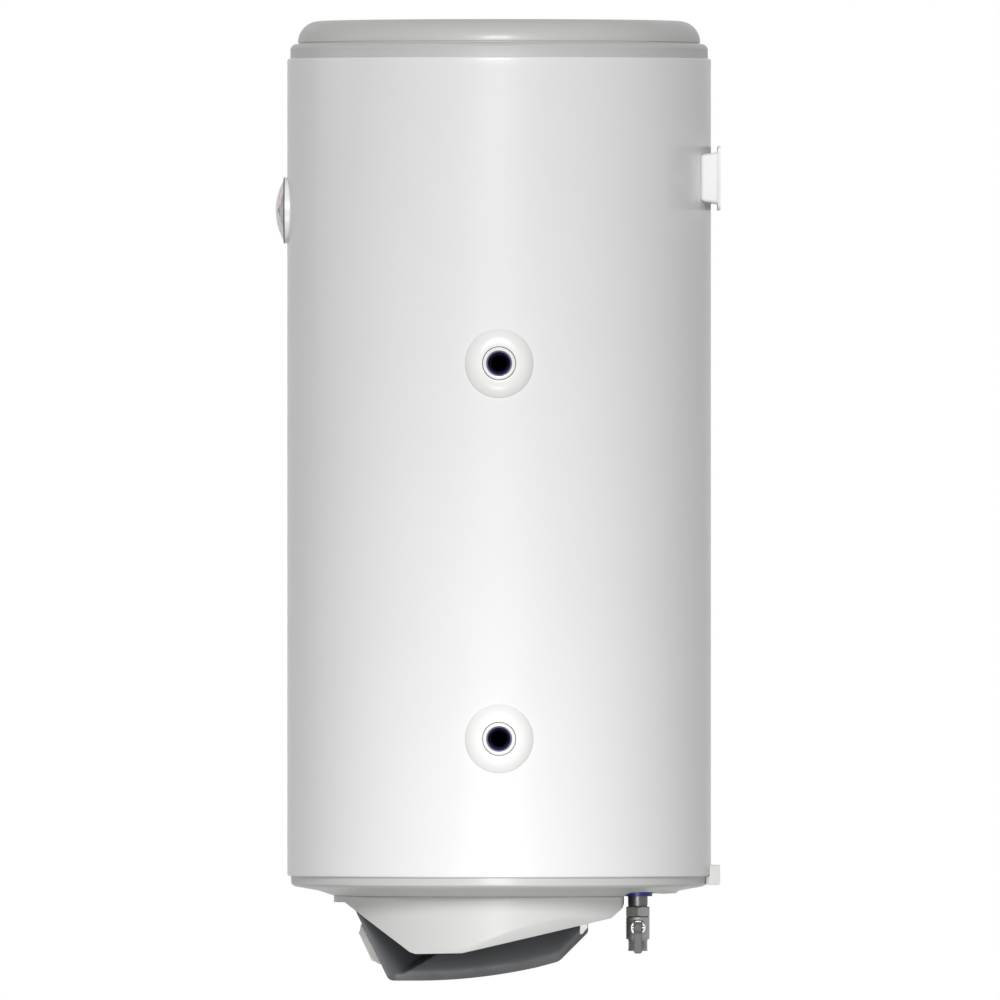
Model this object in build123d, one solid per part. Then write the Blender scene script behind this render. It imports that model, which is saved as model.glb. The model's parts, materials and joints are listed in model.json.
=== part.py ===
from build123d import *

import math
import os

# Wall-hung cylindrical water heater, in millimetres.
# Origin: wall plane at the centre of the upper wall bracket. +Y points into the wall,
# +Z up, and the coil sockets are on the +X side.

# ---- driving dimensions -------------------------------------------------------------
TANK_Y = -236.5          # vertical axis of the tank
CASE_R = 227.0           # casing, outside
CASE_WALL = 0.8
CASE_TOP = 128.0
CASE_BOTTOM = -747.0
HEM_R = 2.0              # rolled edge of the casing
CAP_WALL = 2.5
TOP_Z = 168.4            # top of the upper cap
CAP_FLAT_Z = -767.9      # underside of the lower cap
SCREW_R = 2.0
COVER_SCREW_AT = ((-130.0, -205.0), (130.0, -205.0), (-130.0, -290.0), (130.0, -290.0))

SHELL_R = 196.0          # pressure vessel, outside
SHELL_WALL = 2.0
SHELL_LOW = -640.0
SHELL_HIGH = 35.0
DISH_DEPTH = 65.0
KNUCKLE_R = 30.0
FLANGE_Z = -724.0        # underside of the vessel's flange collar
PLATE_Z = -731.0         # underside of the flange plate
ELEMENT_LEGS = ((-16.0, TANK_Y + 14.0), (16.0, TANK_Y + 14.0))
ANODE_AT = (0.0, TANK_Y - 22.0)
PROBE_AT = (0.0, TANK_Y + 34.0)

PIPE_PITCH = 100.0       # between the cold and hot pipes
PIPE_Y = -88.1
PIPE_R = 10.48           # G1/2 male thread, outside
PIPE_BORE = 8.0
COLLAR_R = 15.5

COIL_Z = (-599.0, -199.0)  # lower and upper coil sockets
SOCKET_R = 17.35
SOCKET_BORE = 12.06      # G3/4 female thread, crest
SOCKET_MOUTH = 13.4
SOCKET_FACE = 236.0      # X of the socket's face
THREAD_DEPTH = 20.0
ROSETTE_R = 36.75
TUBE_R = 11.0            # coil tube
TUBE_BORE = 9.0

GAUGE_Z = -34.3          # thermometer
GAUGE_R = 35.5
GAUGE_RIM_Y = -467.5
LENS_TIP_Y = -476.1
LENS_EDGE = 32.2         # radius where the lens leaves the bezel
DIAL_ARC = 52.0          # radius of the dial's dome
DIAL_EDGE = 27.6
POCKET_Z = -90.0         # thermometer's sensor pocket
POCKET_R = 5.0

FLANGE_T = 2.7           # wall bracket sheet
BRACKET_HALF = 120.0
SLOT_X = 100.0
STUD_X = 45.0

COVER_R = 177.0          # electrical cover
COVER_WALL = 2.5
COVER_EDGE = (           # side outline, (Y, Z)
    (-420.0, -768.1), (-420.0, -774.9), (-401.6, -774.9), (-331.9, -827.0), (-326.0, -829.0),
    (-276.2, -828.0), (-116.7, -791.1), (-106.8, -782.5), (-104.0, -779.4), (-104.0, -768.1),
)
GLAND_AT = (-85.0, -104.0, -774.0)
LAMP_X = 42.0            # pilot lamp, beside the knob
CONTROL_HALF = 88.0      # control cover, half its width
KNOB_AT = (0.0, -372.8, -819.8)
FACE_NORMAL = (0.0, -0.903, -0.430)

VALVE_BODY_R = 12.5
RELIEF_Z = -801.9
BONNET_R = 8.15
BONNET_FACE = 76.0
SPOUT_R = 4.5            # drain spout
SPOUT_REACH = 26.0       # from the valve's axis to the spout's tip
SPOUT_SEAT = 13.5        # from the valve's axis to the spout's shoulder
PIN_STAND = 5.2          # lever pin in front of the bonnet

COLD_X = PIPE_PITCH / 2
HOT_X = -PIPE_PITCH / 2
PIN_X = BONNET_FACE + PIN_STAND
RIM = TANK_Y - GAUGE_RIM_Y
LENS_TIP = TANK_Y - LENS_TIP_Y
DIAL_TIP = RIM + 4.0
UP = (0, 0, 1)
TO_RIGHT = (1, 0, 0)
TO_WALL = (0, 1, 0)
TANK_AXIS = Pos(0, TANK_Y, 0)
FACE_PLANE = Plane(origin=KNOB_AT, x_dir=TO_RIGHT, z_dir=FACE_NORMAL)
M8 = 4.0

parts = {}


# ---- helpers ------------------------------------------------------------------------
def rod(start, direction, radius, length, bore=0.0):
    """A cylinder, or a tube when it has a bore, from a start point along a direction."""
    section = Circle(radius) - Circle(bore) if bore else Circle(radius)
    return Plane(origin=start, z_dir=direction) * extrude(section, length)


def block(x, y, z):
    """A box from its low and high corner on each axis."""
    size = (x[1] - x[0], y[1] - y[0], z[1] - z[0])
    centre = ((x[0] + x[1]) / 2, (y[0] + y[1]) / 2, (z[0] + z[1]) / 2)
    return Pos(*centre) * Box(*size)


def turned(outline):
    """The solid that an outline of (radius, height) sweeps round the tank's axis."""
    return TANK_AXIS * revolve(Plane.XZ * make_face(outline), Axis.Z, 360)


def turned_points(points):
    """As turned, from a closed list of straight-edged points."""
    return turned(Polyline(*points, close=True))


def sideways(points, half_width):
    """A prism of a (Y, Z) outline, extruded to half_width on each side of X = 0."""
    face = Plane.YZ * make_face(Polyline(*points, close=True))
    return extrude(face, half_width, both=True)


def hex_prism(centre, direction, across_flats, height, bore=0.0):
    """A hexagon bar or nut standing on a point."""
    section = RegularPolygon(across_flats / 2, 6, major_radius=False)
    if bore:
        section = section - Circle(bore)
    return Plane(origin=centre, z_dir=direction) * extrude(section, height)


def pipe_run(points, radius, bend, bore=0.0):
    """A round tube along straight runs joined by tangent arcs."""
    path = FilletPolyline(*points, radius=bend)
    start = Plane(origin=path @ 0, z_dir=path % 0)
    solid = sweep(start * Circle(radius), path=path)
    if bore:
        solid = solid - sweep(start * Circle(bore), path=path)
    return solid


def on_circle(count, radius, start_deg=0.0):
    """Points of a ring round the tank's axis."""
    turns = (math.radians(start_deg + 360 * i / count) for i in range(count))
    return [(radius * math.cos(a), TANK_Y + radius * math.sin(a)) for a in turns]


STUD_RING = on_circle(6, 62.0, 30.0)


def coil_spring(start, direction, radius, wire, length, turns):
    """A round-wire compression spring whose wire centres span the given length."""
    helix = Helix(pitch=length / turns, height=length, radius=radius)
    section = Plane(origin=helix @ 0, z_dir=helix % 0) * Circle(wire)
    return Plane(origin=start, z_dir=direction) * sweep(section, path=helix, is_frenet=True)


# ---- casing, caps and vessel --------------------------------------------------------
def casing():
    """Rolled sheet-steel jacket with hemmed edges and its cut-outs."""
    inner = CASE_R - CASE_WALL
    bend = CASE_R - HEM_R
    lip = 223.9
    turn = 0.7071
    hem = HEM_R - CASE_WALL
    top_bend, low_bend = CASE_TOP - HEM_R, CASE_BOTTOM + HEM_R
    outline = (
        Line((CASE_R, low_bend), (CASE_R, top_bend))
        + ThreePointArc(
            (CASE_R, top_bend), (bend + HEM_R * turn, top_bend + HEM_R * turn), (bend, CASE_TOP)
        )
        + Polyline(
            (bend, CASE_TOP), (lip, CASE_TOP), (lip, CASE_TOP - CASE_WALL),
            (bend, CASE_TOP - CASE_WALL),
        )
        + ThreePointArc(
            (bend, CASE_TOP - CASE_WALL), (bend + hem * turn, top_bend + hem * turn),
            (inner, top_bend),
        )
        + Line((inner, top_bend), (inner, low_bend))
        + ThreePointArc(
            (inner, low_bend), (bend + hem * turn, low_bend - hem * turn),
            (bend, CASE_BOTTOM + CASE_WALL),
        )
        + Polyline(
            (bend, CASE_BOTTOM + CASE_WALL), (lip, CASE_BOTTOM + CASE_WALL),
            (lip, CASE_BOTTOM), (bend, CASE_BOTTOM),
        )
        + ThreePointArc(
            (bend, CASE_BOTTOM), (bend + HEM_R * turn, low_bend - HEM_R * turn),
            (CASE_R, low_bend),
        )
    )
    solid = turned(outline)
    for z in COIL_Z:
        solid = solid - rod((200, TANK_Y, z), TO_RIGHT, SOCKET_R + 0.4, 40)
    solid = solid - rod((0, -480, GAUGE_Z), TO_WALL, 30.0, 60)
    for x in (-STUD_X, STUD_X):
        solid = solid - rod((x, -40, 0), TO_WALL, 5.5, 40)
    return solid


def top_cap():
    """Moulded lid: a stepped skirt, a shoulder, a bead line and a rolled crown."""
    crown_r, crown_at = 23.0, (192.5, 145.4)
    slim = crown_r - CAP_WALL
    turn = 0.7071
    outline = (
        Polyline((223.2, 116.0), (225.8, 116.0), (225.8, 125.9), (224.9, 126.9),
                 (223.6, 126.9), (223.6, 138.1))
        + ThreePointArc((223.6, 138.1), (220.9, 142.27), (214.4, 144.0))
        + Polyline((214.4, 144.0), (214.4, crown_at[1]), (crown_at[0] + crown_r, crown_at[1]))
        + ThreePointArc(
            (crown_at[0] + crown_r, crown_at[1]),
            (crown_at[0] + crown_r * turn, crown_at[1] + crown_r * turn),
            (crown_at[0], TOP_Z),
        )
        + Polyline((crown_at[0], TOP_Z), (0, TOP_Z), (0, TOP_Z - CAP_WALL),
                   (crown_at[0], TOP_Z - CAP_WALL))
        + ThreePointArc(
            (crown_at[0], TOP_Z - CAP_WALL),
            (crown_at[0] + slim * turn, crown_at[1] + slim * turn),
            (crown_at[0] + slim, crown_at[1]),
        )
        + Polyline((crown_at[0] + slim, crown_at[1]), (211.9, 141.3), (219.0, 140.0),
                   (221.1, 136.5), (221.1, 127.5), (223.2, 124.0), (223.2, 116.0))
    )
    return turned(outline)


def bottom_cap():
    """Moulded base ring: short wall, cone and a flat with the pipe and flange openings."""
    outline = (
        (223.2, -735.0), (225.8, -735.0), (225.8, -744.9), (224.9, -745.9), (223.2, -745.9),
        (222.4, -755.9),
        (221.6, -757.3), (219.0, -758.2), (193.7, -762.7), (178.1, CAP_FLAT_Z), (85.0, CAP_FLAT_Z),
        (85.0, CAP_FLAT_Z + CAP_WALL), (177.5, CAP_FLAT_Z + CAP_WALL), (193.0, -760.1),
        (218.0, -755.7), (219.9, -754.0), (220.6, -744.0), (223.2, -741.0),
    )
    solid = turned_points(outline)
    for x in (COLD_X, HOT_X):
        solid = solid - rod((x, PIPE_Y, -775), UP, COLLAR_R + 0.4, 20)
    solid = solid - rod((0, -30, -752), TO_WALL, 4.1, 20)
    for x, y in COVER_SCREW_AT:
        boss = rod((x, y, CAP_FLAT_Z + 1), UP, 5.5, 14, bore=SCREW_R)
        solid = solid - rod((x, y, -770), UP, SCREW_R, 10) + boss
    return solid


def dish_outline(at, sign, gap):
    """Knuckle and crown arcs of a dished end, offset outwards by a gap, rim to pole."""
    knuckle_x = SHELL_R - KNUCKLE_R
    rise = DISH_DEPTH - KNUCKLE_R
    sink = (knuckle_x**2 - rise**2) / (2 * rise)
    turn = math.degrees(math.atan2(sink, knuckle_x))
    crown_r = sink + DISH_DEPTH + gap
    knuckle = CenterArc((knuckle_x, at), KNUCKLE_R + gap, 0, sign * turn)
    crown = CenterArc((0, at - sign * sink), crown_r, sign * turn, sign * (90 - turn))
    return knuckle + crown


def dish_solid(at, sign, gap):
    """Everything inside a dished end's surface."""
    edge = Polyline((SHELL_R + gap, at), (0, at), (0, at + sign * (DISH_DEPTH + gap)))
    return turned(dish_outline(at, sign, gap) + edge)


def dish(at, sign, hole=0.0):
    """Dished end of the vessel, its edge at height at, bulging up or down."""
    solid = dish_solid(at, sign, 0.0) - dish_solid(at, sign, -SHELL_WALL)
    if hole:
        solid = solid - rod((0, TANK_Y, at - DISH_DEPTH - 10), UP, hole, DISH_DEPTH)
    return solid


def vessel_envelope():
    """Outside of the pressure vessel, filled, a little larger than the steel."""
    gap = 0.05
    barrel = rod((0, TANK_Y, SHELL_LOW), UP, SHELL_R + gap, SHELL_HIGH - SHELL_LOW)
    return barrel + dish_solid(SHELL_HIGH, 1, gap) + dish_solid(SHELL_LOW, -1, gap)


def insulation():
    """Foam that fills the space between vessel and casing."""
    solid = rod((0, TANK_Y, -733), UP, CASE_R - CASE_WALL - 3.2, 848) - vessel_envelope()
    for z in COIL_Z:
        solid = solid - rod((190, TANK_Y, z), TO_RIGHT, SOCKET_R + 0.1, 50)
    solid = solid - rod((0, -480, GAUGE_Z), TO_WALL, 30.0, 43)
    solid = solid - block((-6, 6), (-470, -425), (-97, GAUGE_Z))
    for x in (-STUD_X, STUD_X):
        solid = solid - rod((x, -60, 0), TO_WALL, 6.2, 60)
    for x in (COLD_X, HOT_X):
        solid = solid - rod((x, PIPE_Y, -740), UP, PIPE_R + 0.05, 90)
    solid = solid - rod((0, TANK_Y, -740), UP, 82.0, 45)
    return solid


def tank_shell():
    """Rolled cylinder of the pressure vessel."""
    solid = rod((0, TANK_Y, SHELL_LOW), UP, SHELL_R, SHELL_HIGH - SHELL_LOW, SHELL_R - SHELL_WALL)
    for z in COIL_Z:
        solid = solid - rod((150, TANK_Y, z), TO_RIGHT, SOCKET_R, 60)
    return solid - rod((0, -450, POCKET_Z), TO_WALL, POCKET_R, 50)


# ---- coil circuit -------------------------------------------------------------------
def coil_path():
    """Route of the coil tube: in at the lower socket, up in seven bends, out at the upper."""
    runs = 8
    plane_y, near, far = -306.0, 118.0, -118.0
    low, high = COIL_Z
    pitch = (high - low) / (runs - 1)
    points = [(188, TANK_Y, low), (150, TANK_Y, low), (near, plane_y, low)]
    for i in range(runs):
        z = low + i * pitch
        leftward = i % 2 == 0
        if i:
            points.append((far if not leftward else near, plane_y, z))
        if i < runs - 1:
            points.append((far if leftward else near, plane_y, z))
    points += [(near, plane_y, high), (150, TANK_Y, high), (188, TANK_Y, high)]
    return points


def heat_exchanger_coil():
    """Serpentine of plain tube between the two sockets."""
    points = coil_path()
    return pipe_run(points, TUBE_R, 26.0, bore=TUBE_BORE)


def coil_socket(z):
    """Turned socket with a parallel female thread, welded through the vessel."""
    inner_x = 188.0
    outline = Polyline(
        (TUBE_BORE, inner_x), (SOCKET_R, inner_x), (SOCKET_R, SOCKET_FACE),
        (SOCKET_MOUTH, SOCKET_FACE), (SOCKET_BORE, SOCKET_FACE - 1.34),
        (SOCKET_BORE, SOCKET_FACE - 1.34 - THREAD_DEPTH), (TUBE_BORE, SOCKET_FACE - 24.4),
        close=True,
    )
    solid = revolve(Plane.XZ * make_face(outline), Axis.Z, 360)
    return Plane(origin=(0, TANK_Y, z), z_dir=TO_RIGHT) * solid


def coil_rosette(z):
    """Domed plastic escutcheon, scribed to the casing."""
    inner = 17.75
    outline = (
        Line((inner, 215), (inner, 233.6))
        + Line((inner, 233.6), (19.5, 233.9))
        + Spline((19.5, 233.9), (29.0, 231.9), (ROSETTE_R, 226.2), tangents=((1, 0), (0.35, -1)))
        + Polyline((ROSETTE_R, 226.2), (ROSETTE_R, 215), (inner, 215))
    )
    solid = Plane(origin=(0, TANK_Y, z), z_dir=TO_RIGHT) * revolve(
        Plane.XZ * make_face(outline), Axis.Z, 360
    )
    hollow = rod((210, TANK_Y, z), TO_RIGHT, 33.5, 16.4, bore=20.5)
    return solid - hollow - rod((0, TANK_Y, z - 60), UP, CASE_R + 0.05, 120)


# ---- wall bracket and spacer --------------------------------------------------------
def wall_bracket():
    """Pressed hanger: slotted wings on the wall and a tapered pan scribed to the casing."""
    def tapered(shrink, front):
        root = Plane.XZ * Rectangle(150 - 2 * shrink, 56 - 2 * shrink)
        tip = Plane.XZ.offset(-front) * Rectangle(144 - 2 * shrink, 50 - 2 * shrink)
        return loft([root, tip], ruled=True)

    deep = 20.9
    pan = tapered(0, -deep)
    pan = fillet(pan.faces().sort_by(Axis.Y)[0].edges(), 5.0)
    upright = pan.edges().filter_by(lambda e: abs(e.tangent_at(0.5).Y) > 0.9)
    pan = fillet(upright, 4.0)
    wings = block((-BRACKET_HALF, BRACKET_HALF), (-FLANGE_T, 0), (-33.9, 33.9))
    wings = fillet(wings.edges().filter_by(Axis.Y), 5.0)
    hollow = tapered(FLANGE_T, -deep)
    near_casing = rod((0, TANK_Y, -60), UP, CASE_R + 0.15, 120)
    inner_wall = rod((0, TANK_Y, -60), UP, CASE_R + FLANGE_T, 120)
    solid = wings + (pan - near_casing) - (hollow - inner_wall)
    for x in (-SLOT_X, SLOT_X):
        slot = Plane.XZ * Pos(x, 0) * SlotOverall(20, 11)
        solid = solid - extrude(slot, 10, both=True)
    for x in (-STUD_X, STUD_X):
        solid = solid - rod((x, -30, 0), TO_WALL, M8, 40)
    return solid


def bracket_studs():
    """Two studs welded to the vessel that carry the bracket."""
    studs = []
    for x in (-STUD_X, STUD_X):
        bar = rod((x, -62, 0), TO_WALL, M8, 54.5) - rod((0, TANK_Y, -20), UP, SHELL_R, 40)
        foot = rod((x, -62, 0), TO_WALL, 6.0, 34) - rod((0, TANK_Y, -20), UP, SHELL_R, 40)
        studs.append(bar + foot)
    return Compound(studs)


def lower_spacer():
    """Moulded foot that keeps the lower end of the heater off the wall."""
    half = 30.0
    leg = block((-half, half), (-14.0, 0), (-747.0, -735.5))
    toe = block((-half, half), (-19.0, 0), (-756.6, -747.0))
    solid = leg + toe
    low_edge = solid.edges().filter_by(Axis.X).group_by(Axis.Z)[0].sort_by(Axis.Y)[-1]
    solid = fillet(low_edge, 2.7)
    solid = solid - rod((0, TANK_Y, -747.3), UP, CASE_R + 0.05, 20)
    solid = solid - rod((0, TANK_Y, -760), UP, 223.3, 13)
    return solid + rod((0, -18, -752), TO_WALL, 4.0, 6)


# ---- thermometer --------------------------------------------------------------------
def front_turned(outline):
    """Solid of revolution round the thermometer's axis; heights are distances forward of
    the vessel's axis."""
    solid = revolve(Plane.XZ * make_face(outline), Axis.Z, 360)
    return Plane(origin=(0, TANK_Y, GAUGE_Z), z_dir=(0, -1, 0)) * solid


def dome(tip, radius, edge):
    """Arc of a dome centred on the axis, from its edge radius up to its tip."""
    turn = math.degrees(math.acos(edge / radius))
    return CenterArc((0, tip - radius), radius, turn, 90 - turn)


def dome_edge(tip, radius, edge):
    """Height of a dome's arc at its edge radius."""
    return tip - radius + math.sqrt(radius**2 - edge**2)


def thermometer_bezel():
    """Can and bezel in one moulding."""
    outline = Polyline(
        (0, 205.0), (29.2, 205.0), (29.2, 224.0), (34.4, 222.4), (GAUGE_R, 223.8),
        (GAUGE_R, RIM - 1.3), (34.6, RIM), (32.6, RIM), (32.4, RIM - 1.1), (31.2, RIM - 1.1),
        (31.0, RIM - 2.4), (28.2, RIM - 2.6), (28.0, RIM - 4.9), (24.0, RIM - 5.0), (24.0, 208.0),
        (0, 208.0), close=True,
    )
    solid = front_turned(outline)
    saddle = rod((0, TANK_Y, GAUGE_Z - 50), UP, CASE_R + 0.05, 100)
    waist = rod((0, TANK_Y - 205.0, GAUGE_Z), (0, -1, 0), 29.2, 40)
    return solid - (saddle - waist) - rod((0, -445, GAUGE_Z), (0, 0, -1), 1.3, 40)


def thermometer_dial():
    """Domed scale plate on a hub."""
    thick = 0.7
    top = dome_edge(DIAL_TIP, DIAL_ARC, DIAL_EDGE)
    under = dome_edge(DIAL_TIP - thick, DIAL_ARC - thick, DIAL_EDGE)
    neck = dome_edge(DIAL_TIP - thick, DIAL_ARC - thick, 3.0)
    skin = (
        dome(DIAL_TIP, DIAL_ARC, DIAL_EDGE)
        + Polyline((0, DIAL_TIP), (0, DIAL_TIP - thick))
        + dome(DIAL_TIP - thick, DIAL_ARC - thick, DIAL_EDGE)
        + Line((DIAL_EDGE, under), (DIAL_EDGE, top))
    )
    hub = rod((0, TANK_Y - 208.0, GAUGE_Z), (0, -1, 0), 3.0, neck + 0.3 - 208.0)
    return front_turned(skin) + hub - rod((0, TANK_Y - 215, GAUGE_Z), (0, -1, 0), 0.8, 40)


def thermometer_pointer():
    """Bowed needle with its boss and spindle; it points down and to the left at rest."""
    lift, thick = 0.5, 0.6
    boss = rod((0, TANK_Y - DIAL_TIP - 0.2, GAUGE_Z), (0, -1, 0), 2.4, 1.9)
    spindle = rod((0, TANK_Y - 217, GAUGE_Z), (0, -1, 0), 0.75, DIAL_TIP - 216.5)
    shell = [
        Pos(0, TANK_Y - DIAL_TIP + DIAL_ARC, GAUGE_Z) * Sphere(DIAL_ARC + lift + extra)
        for extra in (thick, 0.0)
    ]
    blade = Polyline((-1.7, -7), (1.7, -7), (0.6, 23), (-0.6, 23), close=True)
    plane = Plane(origin=(0, TANK_Y - 215, GAUGE_Z), x_dir=TO_RIGHT, z_dir=(0, -1, 0))
    needle = plane * Rot(0, 0, 120) * extrude(make_face(blade), 40)
    return boss + spindle + (needle & (shell[0] - shell[1]))


def thermometer_lens():
    """Clear dome that snaps into the bezel."""
    wall = 1.2
    rise = LENS_TIP - RIM
    arc_r = (LENS_EDGE**2 + rise**2) / (2 * rise)
    inner_edge = LENS_EDGE - wall
    inner_z = dome_edge(LENS_TIP - wall, arc_r - wall, inner_edge)
    outline = (
        dome(LENS_TIP, arc_r, LENS_EDGE)
        + Line((0, LENS_TIP), (0, LENS_TIP - wall))
        + dome(LENS_TIP - wall, arc_r - wall, inner_edge)
        + Polyline((inner_edge, inner_z), (inner_edge, RIM - 1.0), (LENS_EDGE, RIM - 1.0),
                   (LENS_EDGE, RIM))
    )
    return front_turned(outline)


def thermometer_capillary():
    """Capillary from the can to the bulb in the sensor pocket, in one piece."""
    tube = pipe_run([(0, -445, GAUGE_Z - 25.5), (0, -445, POCKET_Z), (0, -434, POCKET_Z)], 1.0, 5.0)
    bulb = rod((0, -434, POCKET_Z), TO_WALL, 3.4, 60)
    return tube + bulb


def sensor_pocket():
    """Closed brass tube through the vessel's wall."""
    tube = rod((0, -438, POCKET_Z), TO_WALL, POCKET_R, 78)
    return tube - rod((0, -438, POCKET_Z), TO_WALL, 3.6, 75)


# ---- service flange -----------------------------------------------------------------


def flange_collar():
    """Neck and rim welded into the lower dished end."""
    solid = turned_points(
        ((48, -695), (60, -695), (60, -716), (75, -716), (75, FLANGE_Z), (48, FLANGE_Z))
    )
    for x, y in STUD_RING:
        solid = solid - rod((x, y, -730), UP, M8, 10)
    return solid


def flange_studs():
    """Six studs of the service flange."""
    studs = [rod((x, y, -745), UP, M8, 25) for x, y in STUD_RING]
    return Compound(studs)


def flange_gasket():
    """Flat rubber ring."""
    solid = rod((0, TANK_Y, -727), UP, 73.0, 3.0, bore=46.0)
    for x, y in STUD_RING:
        solid = solid - rod((x, y, -728), UP, M8 + 0.3, 6)
    return solid


def flange_plate():
    """Steel plate that carries the element, the anode and the probe tube."""
    solid = rod((0, TANK_Y, PLATE_Z), UP, 74.0, 4.0)
    holes = [(x, y, M8 + 0.3) for x, y in STUD_RING]
    holes += [(x, y, 4.25) for x, y in ELEMENT_LEGS]
    holes += [(*ANODE_AT, M8), (*PROBE_AT, 5.0)]
    for x, y, r in holes:
        solid = solid - rod((x, y, PLATE_Z - 1), UP, r, 6)
    return solid


def m8_nuts():
    """All hexagon nuts of one size: flange, anode and bracket."""
    nuts = [hex_prism((x, y, PLATE_Z - 6.5), UP, 13, 6.5, M8) for x, y in STUD_RING]
    nuts.append(hex_prism((*ANODE_AT, PLATE_Z - 8.0), UP, 13, 6.5, M8))
    for x in (-STUD_X, STUD_X):
        inner = TANK_Y + math.sqrt((CASE_R + FLANGE_T) ** 2 - (abs(x) - 6.6) ** 2)
        nuts.append(hex_prism((x, inner + 0.1, 0), TO_WALL, 13, 6.5, M8))
    return Compound(nuts)


def heating_element():
    """Hairpin of sheathed tube."""
    (x0, y0), (x1, y1) = ELEMENT_LEGS
    return pipe_run([(x0, y0, -741), (x0, y0, -440), (x1, y1, -440), (x1, y1, -741)], 4.25, 15.0)


def element_terminals():
    """Ceramic beads with blades under the hairpin's ends."""
    pieces = []
    for x, y in ELEMENT_LEGS:
        bead = rod((x, y, -745), UP, 4.25, 4.0)
        blade = block((x - 3.15, x + 3.15), (y - 0.4, y + 0.4), (-757, -745))
        pieces.append(bead + blade)
    return Compound(pieces)


def anode_rod():
    """Magnesium rod on its threaded core."""
    x, y = ANODE_AT
    return rod((x, y, -727), UP, 11.0, 300) + rod((x, y, -742), UP, M8, 16)


def thermostat_pocket():
    """Dry tube for the thermostat's bulb."""
    tube = rod((*PROBE_AT, -738), UP, 5.0, 180)
    return tube - rod((*PROBE_AT, -738), UP, 4.0, 177)


# ---- pipes, collars and safety valve ------------------------------------------------
def cold_inlet_pipe():
    """Inlet pipe, screwed into the valve, ending just inside the lower dished end."""
    return rod((COLD_X, PIPE_Y, -785.7), UP, PIPE_R, 145.7, bore=PIPE_BORE)


def hot_outlet_pipe():
    """Outlet pipe: a male threaded end and a plain riser to the top of the vessel."""
    thread_top = -769.0
    thread = rod((HOT_X, PIPE_Y, thread_top - 20), UP, PIPE_R, 20, bore=PIPE_BORE)
    riser = rod((HOT_X, PIPE_Y, thread_top), UP, 10.1, 50 - thread_top, bore=PIPE_BORE)
    return thread + riser


def pipe_collar(x):
    """Coloured ring that marks and seals the pipe in the cap."""
    wide = rod((x, PIPE_Y, -768.4), UP, COLLAR_R, 8.4, bore=PIPE_R + 0.02)
    return chamfer(wide.edges().group_by(Axis.Z)[0].sort_by(SortBy.LENGTH)[-1], 0.8)


def valve_body():
    """Forged body: hexagon, barrel with relief seat, male outlet and drain spout."""
    x, y = COLD_X, PIPE_Y
    hexagon = hex_prism((x, y, -790.1), UP, 24.9, 10.4)
    barrel = rod((x, y, -814.4), UP, VALVE_BODY_R, 24.3)
    tail = rod((x, y, -827), UP, PIPE_R, 12.6)
    boss = rod((x + 9, y, RELIEF_Z), TO_RIGHT, BONNET_R, 5.0)
    spout = rod((x - SPOUT_REACH, y, RELIEF_Z), TO_RIGHT, SPOUT_R, 18)
    shoulder = rod((x - SPOUT_SEAT, y, RELIEF_Z), TO_RIGHT, SPOUT_R + 1.3, 6)
    solid = hexagon + barrel + tail + boss + spout + shoulder
    solid = solid - rod((x, y, -785.7), UP, PIPE_R + 0.02, 10)
    solid = solid - rod((x, y, -811), UP, 7.5, 30)
    solid = solid - rod((x, y, -830), UP, 5.0, 25)
    solid = solid - rod((x, y, -828), UP, 7.5, 13)
    solid = solid - rod((x, y, RELIEF_Z), TO_RIGHT, 4.2, 20)
    return solid - rod((x - SPOUT_REACH - 1, y, RELIEF_Z), TO_RIGHT, 2.8, 16)


def valve_bonnet():
    """Cap over the relief spring."""
    face = COLD_X + 14.0
    cup = rod((face, PIPE_Y, RELIEF_Z), TO_RIGHT, BONNET_R, BONNET_FACE - face)
    cup = chamfer(cup.edges().filter_by(GeomType.CIRCLE).sort_by(Axis.X)[-1], 0.8)
    cup = cup - rod((face - 1, PIPE_Y, RELIEF_Z), TO_RIGHT, 6.2, BONNET_FACE - face - 0.5)
    return cup - rod((face, PIPE_Y, RELIEF_Z), TO_RIGHT, 2.05, 40)


def relief_stem():
    """Stem with a spring flange and an eye for the lever's pin."""
    shank = rod((66.0, PIPE_Y, RELIEF_Z), TO_RIGHT, 2.0, PIN_X - 66.0)
    flange = rod((66.0, PIPE_Y, RELIEF_Z), TO_RIGHT, 5.2, 1.2)
    eye = rod((PIN_X, PIPE_Y - 3.1, RELIEF_Z), TO_WALL, 3.1, 6.2)
    return shank + flange + eye - rod((PIN_X, PIPE_Y - 8, RELIEF_Z), TO_WALL, 1.55, 16)


def valve_lever():
    """Lever with two cam ears and a hanging arm."""
    face = Plane.XZ * Pos(PIN_X, RELIEF_Z) * Ellipse(4.6, 7.1)
    ears = [extrude(Pos(0, PIPE_Y + side, 0) * face, 1.5, both=True) for side in (-4.8, 4.8)]
    arm_x = (PIN_X - 1.6, PIN_X + 2.4)
    arm = block(arm_x, (PIPE_Y - 4.45, PIPE_Y + 4.45), (-829.4, RELIEF_Z - 3.6))
    arm = fillet(arm.edges().filter_by(Axis.X).group_by(Axis.Z)[0], 2.5)
    arm = fillet(arm.edges().filter_by(Axis.Y).group_by(Axis.Z)[0], 1.2)
    shoulder = block(arm_x, (PIPE_Y - 6.3, PIPE_Y + 6.3), (RELIEF_Z - 7.0, RELIEF_Z - 3.6))
    solid = ears[0] + ears[1] + arm + shoulder
    return solid - rod((PIN_X, PIPE_Y - 10, RELIEF_Z), TO_WALL, 1.5, 20)


def lever_pin():
    """Pin through the stem's eye and the lever's ears."""
    return rod((PIN_X, PIPE_Y - 6.8, RELIEF_Z), TO_WALL, 1.5, 13.6)


def check_poppet():
    """Non-return poppet with its guide stem."""
    head = rod((COLD_X, PIPE_Y, -811), UP, 6.8, 2.2)
    return head + rod((COLD_X, PIPE_Y, -811), UP, 1.4, 20.5)


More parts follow.
